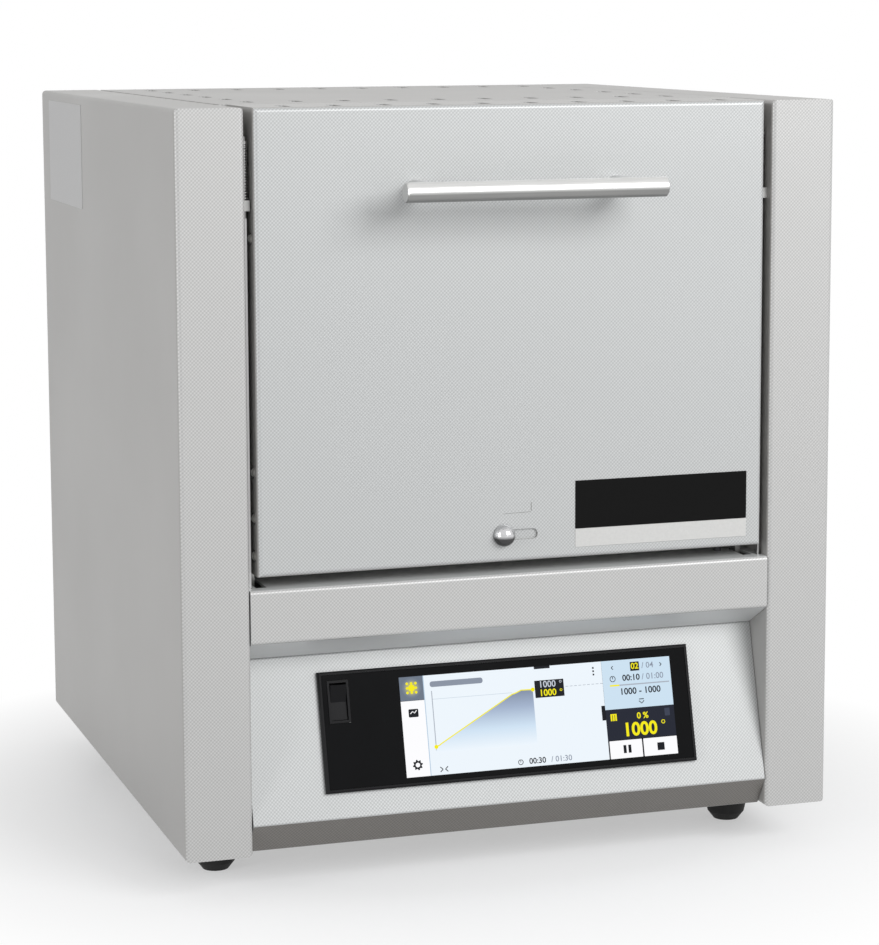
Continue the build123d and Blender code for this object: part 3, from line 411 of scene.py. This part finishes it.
def moulded(name, colour, rough, grain_scale=1400.0, strength=0.15):
    """Moulded plastic or rubber with a fine erosion grain."""
    m = Nodes(name)
    grain = m.noise(grain_scale, 3.0)
    cloud = m.noise(30.0, 2.0)
    m.paint(m.mix(grain, scaled(colour, 0.8), scaled(colour, 1.25)))
    m.roughen(rough - 0.05, cloud, 0.12)
    m.bump(grain, strength, 0.00008)
    return m.material


def black_glass(name):
    """Cover glass, black behind, with the faint smears of a touched surface in its gloss."""
    m = Nodes(name)
    m.set(Specular_IOR_Level=0.09)
    smear = m.noise(35.0, 4.0)
    m.paint(m.mix(smear, (0.0030, 0.0032, 0.0036), (0.0055, 0.0058, 0.0066)))
    m.roughen(0.03, smear, 0.07)
    return m.material


def screen_base(name):
    """The dark, smooth screen under every lit shape of the display."""
    m = Nodes(name)
    m.set(Base_Color=(0.005, 0.005, 0.005, 1), Roughness=0.15, Specular_IOR_Level=0.08)
    m.set(Emission_Strength=SCREEN_GLOW)
    return m


def lit(name, colour):
    """A lit part of the display, with the screen's fine rows of dots in its light."""
    m = screen_base(name)
    z = m.xyz(m.place())[2]
    rows = m.math("SINE", m.math("MULTIPLY", z, 2 * math.pi / SCREEN_ROW_PITCH))
    m.glow(m.mix(m.math("ADD", 0.5, m.math("MULTIPLY", rows, 0.5)), scaled(colour, 0.97), colour))
    return m.material


def curve_fade(name):
    """The fill under the curve: grey-blue at the top and fading into the page at its foot."""
    m = screen_base(name)
    z = m.xyz(m.place())[2]
    low = (ON_SLOPE @ Vector((0, FADE_LOW, 0))).z
    high = (ON_SLOPE @ Vector((0, FADE_HIGH, 0))).z
    share = m.math("DIVIDE", m.math("SUBTRACT", z, low), high - low)
    stops = ((0.0, "EEF6FD"), (0.35, "CFE2F3"), (0.7, "A3B3CC"), (1.0, "7F8CA3"))
    m.glow(m.ramp(share, [(position, srgb(code)) for position, code in stops]))
    return m.material


def tab_glow(name, x, s):
    """The chosen tab: grey-blue, with a yellow glow round its sign."""
    m = screen_base(name)
    away = m.add("ShaderNodeVectorMath", operation="DISTANCE")
    m.join(m.place(), away.inputs[0])
    away.inputs[1].default_value = ON_SLOPE @ Vector((x, s, GLASS_TOP))
    share = m.math("DIVIDE", away.outputs["Value"], TAB_GLOW_REACH)
    stops = ((0.0, "E8DC4A"), (0.45, "B5B37A"), (0.75, "7B8592"), (1.0, "6B7686"))
    m.glow(m.ramp(share, [(position, srgb(code)) for position, code in stops]))
    return m.material


def printed(name, colour, rough, specular=0.5):
    """Ink or foil on a surface, with a slight unevenness."""
    m = Nodes(name)
    m.set(Specular_IOR_Level=specular)
    grain = m.noise(900.0, 3.0)
    m.paint(m.mix(grain, scaled(colour, 0.92), scaled(colour, 1.06)))
    m.roughen(rough - 0.05, grain, 0.1)
    m.bump(grain, 0.05, 0.00003)
    return m.material


def circuit_board(name):
    m = Nodes(name)
    m.set(Roughness=0.4)
    tracks = m.noise(260.0, 1.0, (1.0, 1.0, 3.0))
    board = (0.01, 0.09, 0.035)
    copper = (0.03, 0.20, 0.08)
    m.paint(m.ramp(tracks, [(0.0, board), (0.5, board), (0.55, copper)]))
    m.bump(tracks, 0.2, 0.0001)
    return m.material


def paint_nodes():
    """Gives each CAD node its material."""
    casing = steel_sheet("casing_sheet", srgb("C8C8C7"), srgb("B4B3B1"))
    # The rail's faces that do not look forward, such as the underside strip, take the light tone E6E8E8:
    # painted reflection of the white floor
    rail = steel_sheet("rail_sheet", srgb("C8C8C7"), srgb("E6E8E8"))
    door = steel_sheet("door_sheet", srgb("C7C9C9"), srgb("BDBCBA"))
    # The control panel's skirt tone 7E7B77 is painted shade on its faces that look down
    panel = steel_sheet("panel_sheet", srgb("C0C2C2"), srgb("C0C2C2"), skirt_shade=srgb("7E7B77"))
    zinc = zinc_sheet("zinc_sheet", (0.52, 0.52, 0.51))
    fibre = fibre_board("ceramic_fibre", srgb("E6E0D0"))
    heater = fired_ceramic("heater_ceramic", srgb("C9B79C"))
    tile = fired_ceramic("tile_ceramic", srgb("D8CFBE"))
    tube = fired_ceramic("tube_ceramic", srgb("E4DDCB"), 0.5)
    # The handle bar's darker underside is painted shade
    bar = brushed("brushed_bar", (0.74, 0.74, 0.73), (0.04, 1.0, 1.0), painted_shade_below=0.42)
    post = brushed("brushed_post", (0.60, 0.60, 0.60), (1.0, 0.05, 1.0))
    rod = brushed("drawn_rod", (0.55, 0.55, 0.55), (1.0, 1.0, 0.05))
    # The knob's darker underside is painted shade
    knob = brushed("turned_knob", (0.66, 0.66, 0.67), (1.0, 1.0, 1.0), rough=0.18, strength=0.05, painted_shade_below=0.12)
    screw = polished("plated_screw", (0.62, 0.62, 0.60))
    black = moulded("black_plastic", (0.006, 0.006, 0.007), 0.35)
    black.node_tree.nodes["Principled BSDF"].inputs["Specular IOR Level"].default_value = 0.12
    grey = moulded("grey_plastic", (0.10, 0.10, 0.11), 0.6)
    rubber = moulded("foot_rubber", (0.012, 0.012, 0.012), 0.75, 900.0, 0.3)
    by_material = {
        casing: "left_side_casing right_side_casing top_cover rear_panel base_plate",
        rail: "front_rail",
        door: "door_shell air_slide",
        panel: "control_panel",
        zinc: "partition_plate collar_plate chamber_shell door_inner_plate air_guides hinge_brackets "
              "hinge_arm_left hinge_arm_right balance_guides",
        fibre: "fibre_collar insulation_floor insulation_roof insulation_left insulation_right "
               "insulation_rear door_insulation",
        heater: "heating_plate_left heating_plate_right",
        tile: "floor_tile",
        tube: "exhaust_tube air_tube thermocouple heater_leads",
        bar: "handle_bar",
        post: "handle_posts exhaust_flange",
        rod: "balance_rod_left balance_rod_right",
        knob: "air_knob",
        screw: "door_screws casing_screws hinge_pins balance_studs",
        black: "display_bezel switch_housing rocker mains_inlet thermocouple_head display_module",
        grey: "door_switch door_switch_plunger solid_state_relay power_supply terminal_block",
        rubber: "rubber_feet",
        black_glass("black_glass"): "display_glass",
        circuit_board("circuit_board"): "control_board",
        brushed("extruded_aluminium", (0.58, 0.59, 0.60), (1.0, 0.04, 1.0)): "relay_heat_sink",
    }
    for material, names in by_material.items():
        for name in names.split():
            mesh = nodes[name].data
            mesh.materials.clear()
            mesh.materials.append(material)


def finish_piece(obj, material, body):
    """Gives a new piece its material and its body."""
    obj.data.materials.append(material)
    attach(obj, body)


def object_from(name, bm):
    mesh = bpy.data.meshes.new(name)
    bm.to_mesh(mesh)
    bm.free()
    obj = bpy.data.objects.new(name, mesh)
    bpy.context.scene.collection.objects.link(obj)
    return obj


def mesh_from(curve):
    """The mesh of a curve or text."""
    holder = bpy.data.objects.new("holder", curve)
    bpy.context.scene.collection.objects.link(holder)
    mesh = bpy.data.meshes.new_from_object(holder.evaluated_get(bpy.context.evaluated_depsgraph_get()))
    bpy.data.objects.remove(holder)
    bpy.data.curves.remove(curve)
    return mesh


def arc(x, y, radius, angles):
    """Points on a circle at the angles, in degrees."""
    return [(x + radius * math.cos(math.radians(a)), y + radius * math.sin(math.radians(a))) for a in angles]


def circle(x, y, radius):
    return arc(x, y, radius, [360 * i / CIRCLE_STEPS for i in range(CIRCLE_STEPS)])


def rounded(x0, x1, y0, y1, radius=0.0):
    """The outline of a rectangle with rounded corners."""
    if radius <= 0:
        return [(x0, y0), (x1, y0), (x1, y1), (x0, y1)]
    corners = (
        (x1 - radius, y0 + radius, -90),
        (x1 - radius, y1 - radius, 0),
        (x0 + radius, y1 - radius, 90),
        (x0 + radius, y0 + radius, 180),
    )
    points = []
    for cx, cy, start in corners:
        points += arc(cx, cy, radius, [start + 90 * i / CORNER_STEPS for i in range(CORNER_STEPS + 1)])
    return points


def thick_ring(x, y, radius, width):
    """The outline of a nearly closed ring."""
    angles = [RING_START - RING_SWEEP * i / RING_STEPS for i in range(RING_STEPS + 1)]
    outer = arc(x, y, radius, angles)
    inner = arc(x, y, radius - width, angles)
    return (outer + inner[::-1])[::-1]


def thick_line(points, width):
    """The outline of a line of even width through the points, counter-clockwise."""
    half = width / 2
    upper = []
    lower = []
    for i, (x, y) in enumerate(points):
        before = points[max(i - 1, 0)]
        after = points[min(i + 1, len(points) - 1)]
        way = Vector((after[0] - before[0], after[1] - before[1])).normalized()
        upper.append((x - way.y * half, y + way.x * half))
        lower.append((x + way.y * half, y - way.x * half))
    return lower + upper[::-1]


def add_slab(bm, outline, matrix, low, high, bevel=0.0):
    """Adds a closed slab of an outline, from height low to high over the plane. A bevel softens its top
    edge."""
    levels = [(outline, low), (outline, high - bevel)]
    if bevel:
        cx = sum(p[0] for p in outline) / len(outline)
        cy = sum(p[1] for p in outline) / len(outline)
        shrink_x = 1 - bevel / max(abs(p[0] - cx) for p in outline)
        shrink_y = 1 - bevel / max(abs(p[1] - cy) for p in outline)
        levels.append(([(cx + (x - cx) * shrink_x, cy + (y - cy) * shrink_y) for x, y in outline], high))
    rings = [[bm.verts.new(matrix @ Vector((x, y, h))) for x, y in ring] for ring, h in levels]
    count = len(outline)
    for a, b in zip(rings, rings[1:]):
        for i in range(count):
            j = (i + 1) % count
            bm.faces.new((a[i], a[j], b[j], b[i]))
    bm.faces.new(rings[0][::-1])
    bm.faces.new(rings[-1])


def add_text(bm, words, x, y, size, matrix, low, high, bold):
    """Adds plain digits as closed solids, standing on the plane and centred on (x, y)."""
    curve = bpy.data.curves.new("digits", "FONT")
    curve.body = words
    curve.size = size
    curve.align_x = "CENTER"
    curve.align_y = "CENTER"
    curve.offset = bold
    curve.extrude = (high - low) / 2
    curve.resolution_u = 4
    mesh = mesh_from(curve)
    mesh.transform(matrix @ Matrix.Translation((x, y, (low + high) / 2)))
    bm.from_mesh(mesh)
    bpy.data.meshes.remove(mesh)


class Ink:
    """Collects the flat shapes of the display by colour and makes one piece for each colour."""

    CLOCK_LINE = 0.4

    def __init__(self, matrix, base):
        self.matrix = matrix
        self.base = base
        self.colours = {}

    def sheet(self, colour):
        return self.colours.setdefault(colour, bmesh.new())

    def shape(self, colour, layer, outline):
        low = self.base + layer * INK
        add_slab(self.sheet(colour), outline, self.matrix, low, low + INK)

    def box(self, colour, layer, x0, x1, y0, y1, radius=0.0):
        self.shape(colour, layer, rounded(x0, x1, y0, y1, radius))

    def line(self, colour, layer, points, width):
        self.shape(colour, layer, thick_line(points, width))

    def digits(self, colour, layer, words, x, y, size, bold):
        low = self.base + layer * INK
        add_text(self.sheet(colour), words, x, y, size, self.matrix, low, low + INK, bold)

    def clock(self, x, s, radius, hand_width):
        """A ring with one hand that points up."""
        self.shape("black", 1, thick_ring(x, s, radius, self.CLOCK_LINE))
        self.line("black", 1, [(x, s - self.CLOCK_LINE / 2), (x, s + radius - self.CLOCK_LINE)], hand_width)

    def arrow(self, tail, tip, s, half, width, way):
        """An arrow head of two lines that run to its tip, or from it where way is -1."""
        for end in (s + half, s - half):
            self.line("black", 1, [(tail, end), (tip, s)][::way], width)

    def finish(self, materials, prefix):
        for colour, bm in self.colours.items():
            bmesh.ops.recalc_face_normals(bm, faces=bm.faces)
            finish_piece(object_from(prefix + colour, bm), materials[colour], CASING)


def curve_points():
    """The heating curve: a slow start, a straight climb, a round shoulder and a level end."""
    points = [CURVE_START, CURVE_BEND]
    run = CLIMB_END[0] - CLIMB_START[0]
    rise = CLIMB_END[1] - CLIMB_START[1]
    for i in range(CLIMB_STEPS + 1):
        share = i / CLIMB_STEPS
        points.append((CLIMB_START[0] + run * share, CLIMB_START[1] + rise * share))
    for i in range(1, SHOULDER_STEPS + 1):
        turn = math.sin(math.pi / 2 * i / SHOULDER_STEPS)
        points.append((CLIMB_END[0] + SHOULDER_RUN * turn, CLIMB_END[1] + SHOULDER_RISE * turn ** 1.4))
    points.append((CURVE_END, CURVE_LEVEL))
    return points


def draw_panes(ink):
    """The display's plain areas."""
    side = SIDE_LEFT + 0.1
    ink.box("page", 0, TAB_RIGHT + 0.5, SIDE_LEFT, SCREEN_LOW, SCREEN_HIGH)
    ink.box("white", 0, SCREEN_LEFT, TAB_RIGHT, SCREEN_LOW, 61.8)
    ink.box("tab", 0, SCREEN_LEFT, TAB_RIGHT, 62.0, SCREEN_HIGH)
    ink.box("edge", 0, TAB_RIGHT, TAB_RIGHT + 0.5, SCREEN_LOW, SCREEN_HIGH)
    ink.box("pale_blue", 0, side, SCREEN_RIGHT, SIDE_SPLIT, SCREEN_HIGH)
    ink.box("navy", 0, side, SCREEN_RIGHT, BUTTON_TOP + 0.4, SIDE_SPLIT - 0.1)
    ink.box("black", 0, side, SCREEN_RIGHT, SCREEN_LOW, BUTTON_TOP + 0.3)
    ink.box("white", 1, 58.3, 78.3, SCREEN_LOW, BUTTON_TOP, 0.3)
    ink.box("white", 1, 79.2, SCREEN_RIGHT, SCREEN_LOW, BUTTON_TOP, 0.3)


def draw_tab_signs(ink):
    """The signs of the three tabs: a sun, a chart and a gear."""
    for dx in (-2.6, 0.0, 2.6):
        for ds in (-2.6, 0.0, 2.6):
            size = 1.9 if dx == 0 and ds == 0 else 0.75
            ink.shape("yellow", 1, circle(TAB_X + dx, SUN_S + ds, size))
    ink.box("black", 1, -60.4, -54.6, 52.6, 57.2, 0.6)
    ink.line("white", 2, [(-59.4, 54.6), (-58.0, 55.8), (-56.9, 54.9), (-55.6, 56.4)], 0.5)
    gear = []
    for i in range(GEAR_STEPS):
        radius = 3.0 if i % 4 in (0, 1) else 2.25
        gear += arc(TAB_X, GEAR_S, radius, [360 * (i + 0.5) / GEAR_STEPS])
    ink.shape("black", 1, gear)
    ink.shape("white", 2, circle(TAB_X, GEAR_S, 1.3))


def draw_chart(ink):
    """The heating curve with its axis, its two values and the time below it."""
    ink.box("grey_line", 1, -46.1, -45.6, 33.0, 66.5)
    ink.box("faint_line", 1, -45.6, 2.0, 61.6, 61.9)
    points = curve_points()
    fill = points + [(CURVE_END, CURVE_FOOT), (points[0][0], CURVE_FOOT)]
    ink.shape("fill", 1, fill[::-1])
    ink.line("yellow", 2, points, 0.62)
    ink.shape("yellow", 3, circle(*points[0], 1.15))
    ink.shape("yellow", 3, circle(*points[-1], 1.15))
    for i in range(9):
        x = 34.6 + i * 2.65
        ink.box("grey_line", 1, x, x + 1.7, 62.7, 63.0)
    ink.box("black", 1, 15.9, 33.6, 57.6, 67.4, 0.2)
    ink.digits("cool_grey", 2, "1000", 23.6, 64.9, 5.2, 0.06)
    ink.digits("yellow", 2, "1000", 23.6, 60.1, 5.2, 0.10)
    ink.shape("cool_grey", 2, thick_ring(31.7, 66.0, 0.75, 0.3))
    ink.shape("yellow", 2, thick_ring(31.7, 61.2, 0.75, 0.3))
    ink.box("mid_grey", 1, -46.6, -15.0, 68.6, 71.8, 1.4)
    ink.box("black", 1, 16.4, 26.0, 74.0, SCREEN_HIGH)
    for i in range(3):
        ink.box("black", 1, 51.8, 52.8, 67.8 + i * 1.9, 68.8 + i * 1.9)
    ink.box("black", 1, SIDE_LEFT - 2.2, SIDE_LEFT, 41.6, 50.0)
    ink.digits("black", 1, "00:30", 13.8, 22.2, 4.6, 0.08)
    ink.digits("mid_grey", 1, "/ 01:30", 28.4, 22.2, 4.6, 0.03)
    ink.clock(3.6, 22.2, 1.6, 0.35)
    for side in (-1, 1):
        ink.arrow(-42.2 + side * 2.3, -42.2 + side * 0.7, 22.2, 1.4, 0.5, side)


def draw_state(ink):
    """The right side: step, times and set value, the value now, and the pause and stop buttons."""
    ink.box("black", 1, 75.2, 80.8, 68.6, 73.8, 0.2)
    ink.digits("yellow", 2, "02", 78.0, 71.2, 4.8, 0.10)
    ink.digits("mid_grey", 1, "/ 04", 86.0, 71.2, 4.8, 0.03)
    for x, way in ((64.0, -1), (94.2, 1)):
        ink.arrow(x - way * 0.6, x + way * 0.5, 71.2, 1.0, 0.45, way)
    ink.clock(63.8, 64.8, 1.8, 0.4)
    ink.digits("black", 1, "00:10", 75.2, 64.8, 4.9, 0.10)
    ink.digits("mid_grey", 1, "/ 01:00", 88.6, 64.8, 4.9, 0.03)
    ink.box("grey_line", 1, 61.8, 98.6, 60.6, 61.3)
    ink.box("yellow", 2, 61.8, 67.6, 60.5, 61.4)
    ink.digits("black", 1, "1000 - 1000", 80.2, 57.0, 5.2, 0.10)
    ink.line("black", 1, [(78.8, 51.2), (80.4, 49.7), (82.0, 51.2)], 0.5)
    ink.box("black", 1, 78.9, 81.9, 51.9, 52.4)
    for i in range(3):
        ink.box("yellow", 1, 60.4 + i * 1.4, 61.4 + i * 1.4, 40.8, 44.2)
    ink.box("yellow", 1, 60.4, 64.2, 44.2, 44.8)
    ink.digits("yellow", 1, "0 %", 80.2, 42.6, 4.9, 0.12)
    ink.box("dim", 1, 94.0, 97.2, 41.4, 45.8, 0.4)
    ink.digits("yellow", 1, "1000", 78.0, 34.9, 10.6, 0.30)
    ink.shape("yellow", 1, thick_ring(92.6, 38.2, 1.2, 0.45))
    for x in (66.6, 69.6):
        ink.box("black", 2, x, x + 1.8, 22.0, 26.6)
    ink.box("black", 2, 87.6, 92.0, 22.0, 26.4)


def display_picture():
    """The lit picture under the cover glass."""
    ink = Ink(ON_SLOPE, GLASS_TOP + INK_LIFT)
    draw_panes(ink)
    draw_tab_signs(ink)
    draw_chart(ink)
    draw_state(ink)
    codes = {
        "page": "EEF6FD",
        "white": "FDFDFF",
        "edge": "B4CBE0",
        "pale_blue": "CDE2F2",
        "navy": "1E2230",
        "black": "12141C",
        "dim": "3A4052",
        "yellow": "F7EC0A",
        "cool_grey": "C9D0DC",
        "mid_grey": "8A93A3",
        "grey_line": "A9B0BC",
        "faint_line": "CDD9E4",
    }
    materials = {colour: lit("display_" + colour, srgb(code)) for colour, code in codes.items()}
    materials["fill"] = curve_fade("display_fade")
    materials["tab"] = tab_glow("display_tab", TAB_X, SUN_S)
    ink.finish(materials, "display_picture_")


def plate(name, outline, matrix, thickness, edge):
    """A flat plate on a plane, with a softened top edge."""
    bm = bmesh.new()
    add_slab(bm, outline, matrix, 0.0, thickness, edge)
    return object_from(name, bm)


def bare_plates():
    """The bare plates on the door's front and on the left side."""
    black_ink = printed("plate_black", (0.004, 0.004, 0.004), 0.3, 0.1)
    pale_ink = printed("plate_pale", srgb("D8D8D6"), 0.35)
    foil = printed("plate_foil", srgb("C6C6C6"), 0.4)
    black_outline = rounded(*BLACK_PLATE, PLATE_CORNER)
    black = plate("door_plate_black", black_outline, ON_DOOR, PLATE_THICKNESS, PLATE_EDGE)
    finish_piece(black, black_ink, DOOR)
    pale_outline = rounded(*PALE_PLATE, PLATE_CORNER)
    pale = plate("door_plate_pale", pale_outline, ON_DOOR, PLATE_THICKNESS, PLATE_EDGE)
    finish_piece(pale, pale_ink, DOOR)
    side_outline = rounded(*SIDE_PLATE, SIDE_PLATE_CORNER)
    side = plate("side_plate", side_outline, ON_LEFT, SIDE_PLATE_THICKNESS, SIDE_PLATE_EDGE)
    finish_piece(side, foil, CASING)


def slide_marks():
    """The engraved wedge over the air slide's knob: a line that rises to a short tick."""
    bm = bmesh.new()
    add_slab(bm, thick_line(MARK_LINE, MARK_LINE_WIDTH), ON_DOOR, 0.0, MARK_HEIGHT)
    add_slab(bm, rounded(*MARK_TICK), ON_DOOR, 0.0, MARK_HEIGHT)
    engraving = printed("engraving", srgb("7C7C7A"), 0.5)
    finish_piece(object_from("slide_marks", bm), engraving, DOOR)


def coil(centre, radius, low, rise):
    """The mesh of a coil of round wire, whose end turns lie flat."""
    curve = bpy.data.curves.new("coil", "CURVE")
    curve.dimensions = "3D"
    curve.bevel_depth = SPRING_WIRE
    curve.bevel_resolution = 2
    curve.use_fill_caps = True
    spline = curve.splines.new("POLY")
    last = SPRING_COILS * SPRING_COIL_STEPS
    spline.points.add(last)
    for i in range(last + 1):
        angle = 2 * math.pi * i / SPRING_COIL_STEPS
        share = (i / last - SPRING_FLAT_END) / (1 - 2 * SPRING_FLAT_END)
        x = centre.x + radius * math.cos(angle)
        y = centre.y + radius * math.sin(angle)
        spline.points[i].co = (x, y, low + rise * min(max(share, 0.0), 1.0), 1)
    mesh = mesh_from(curve)
    for polygon in mesh.polygons:
        polygon.use_smooth = True
    return mesh


def balance_springs():
    """The close-wound springs round the ends of the balance rods."""
    steel = brushed("spring_wire", (0.60, 0.60, 0.60), (1.0, 1.0, 1.0), rough=0.25)
    for side in ("left", "right"):
        low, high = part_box("balance_spring_" + side)
        centre = (low + high) / 2
        radius = (high.x - low.x) / 2 - SPRING_WIRE
        mesh = coil(centre, radius, low.z + SPRING_WIRE, high.z - low.z - 2 * SPRING_WIRE)
        obj = bpy.data.objects.new("coil_spring_" + side, mesh)
        bpy.context.scene.collection.objects.link(obj)
        finish_piece(obj, steel, CASING)
        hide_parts("balance_spring_" + side)
        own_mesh(obj)


def stage():
    """A white floor that fades into a white background and keeps the object's shadow."""
    m = Nodes("floor")
    away = m.add("ShaderNodeVectorMath", operation="LENGTH")
    m.join(m.place(), away.inputs[0])
    path = m.add("ShaderNodeLightPath")
    seen = m.math("MAXIMUM", path.outputs["Is Camera Ray"], path.outputs["Is Glossy Ray"])
    seen = m.math("MAXIMUM", seen, path.outputs["Is Transmission Ray"])
    share = m.math("DIVIDE", away.outputs["Value"], FLOOR_FADE_REACH)
    near = (FLOOR_NEAR_WHITE,) * 3
    far = m.ramp(share, [(0.0, near), (0.13, near), (0.24, (1, 1, 1))])
    white = m.add("ShaderNodeEmission")
    diffuse = m.add("ShaderNodeBsdfDiffuse")
    near_tone = m.mix(seen, (0.55, 0.55, 0.56), (0.95, 0.96, 0.975))
    m.join(near_tone, diffuse.inputs["Color"])
    mixed = m.add("ShaderNodeMixShader")
    m.join(m.math("MULTIPLY", far, seen), mixed.inputs[0])
    m.join(diffuse.outputs[0], mixed.inputs[1])
    m.join(white.outputs[0], mixed.inputs[2])
    m.join(mixed.outputs[0], m.tree.nodes["Material Output"].inputs["Surface"])
    bm = bmesh.new()
    bmesh.ops.create_grid(bm, x_segments=2, y_segments=2, size=FLOOR_HALF)
    floor = object_from("floor", bm)
    floor.data.materials.append(m.material)


def area_light(name, at, aim, width, height, power):
    light = bpy.data.lights.new(name, "AREA")
    light.shape = "RECTANGLE"
    light.size = width
    light.size_y = height
    light.energy = power
    obj = bpy.data.objects.new(name, light)
    obj.location = at
    obj.rotation_euler = (Vector(aim) - Vector(at)).to_track_quat("-Z", "Y").to_euler()
    bpy.context.scene.collection.objects.link(obj)


def lighting():
    """An even white room, a large soft key from the front right and a weak fill from the left."""
    world = bpy.data.worlds.new("studio")
    world.use_nodes = True
    tree = world.node_tree
    path = tree.nodes.new("ShaderNodeLightPath")
    seen = path.outputs["Is Camera Ray"]
    for ray in ("Is Glossy Ray", "Is Transmission Ray"):
        node = tree.nodes.new("ShaderNodeMath")
        node.operation = "MAXIMUM"
        tree.links.new(seen, node.inputs[0])
        tree.links.new(path.outputs[ray], node.inputs[1])
        seen = node.outputs[0]
    strength = tree.nodes.new("ShaderNodeMapRange")
    tree.links.new(seen, strength.inputs["Value"])
    strength.inputs["To Min"].default_value = ROOM_LIGHT
    strength.inputs["To Max"].default_value = ROOM_BACKGROUND
    background = tree.nodes["Background"]
    background.inputs["Color"].default_value = (1, 1, 1, 1)
    tree.links.new(strength.outputs[0], background.inputs["Strength"])
    bpy.context.scene.world = world
    middle = (0, 0, 0.2)
    area_light("key", at=(0.9, -1.8, 1.2), aim=middle, width=1.2, height=0.9, power=27)
    area_light("left", at=(-2.0, -0.9, 0.5), aim=middle, width=0.4, height=1.4, power=12)


def camera():
    """The camera at the photograph's viewing angle."""
    data = bpy.data.cameras.new("camera")
    data.sensor_width = SENSOR
    data.lens = FOCAL_PX / IMAGE_H * SENSOR
    data.shift_y = (CENTRE_PX_Y - IMAGE_H / 2) / IMAGE_H
    data.clip_end = CAMERA_REACH
    obj = bpy.data.objects.new("camera", data)
    turn = Matrix.Rotation(-math.radians(CAMERA_YAW), 4, "Z")
    turn @= Matrix.Rotation(math.pi / 2 - math.radians(CAMERA_PITCH), 4, "X")
    turn @= Matrix.Rotation(math.radians(CAMERA_ROLL), 4, "Z")
    obj.matrix_world = Matrix.Translation(spot(*CAMERA_AT)) @ turn
    bpy.context.scene.collection.objects.link(obj)
    bpy.context.scene.camera = obj


camera()
lighting()
stage()
paint_nodes()
display_picture()
bare_plates()
slide_marks()
balance_springs()
bpy.context.scene.view_settings.view_transform = "Standard"
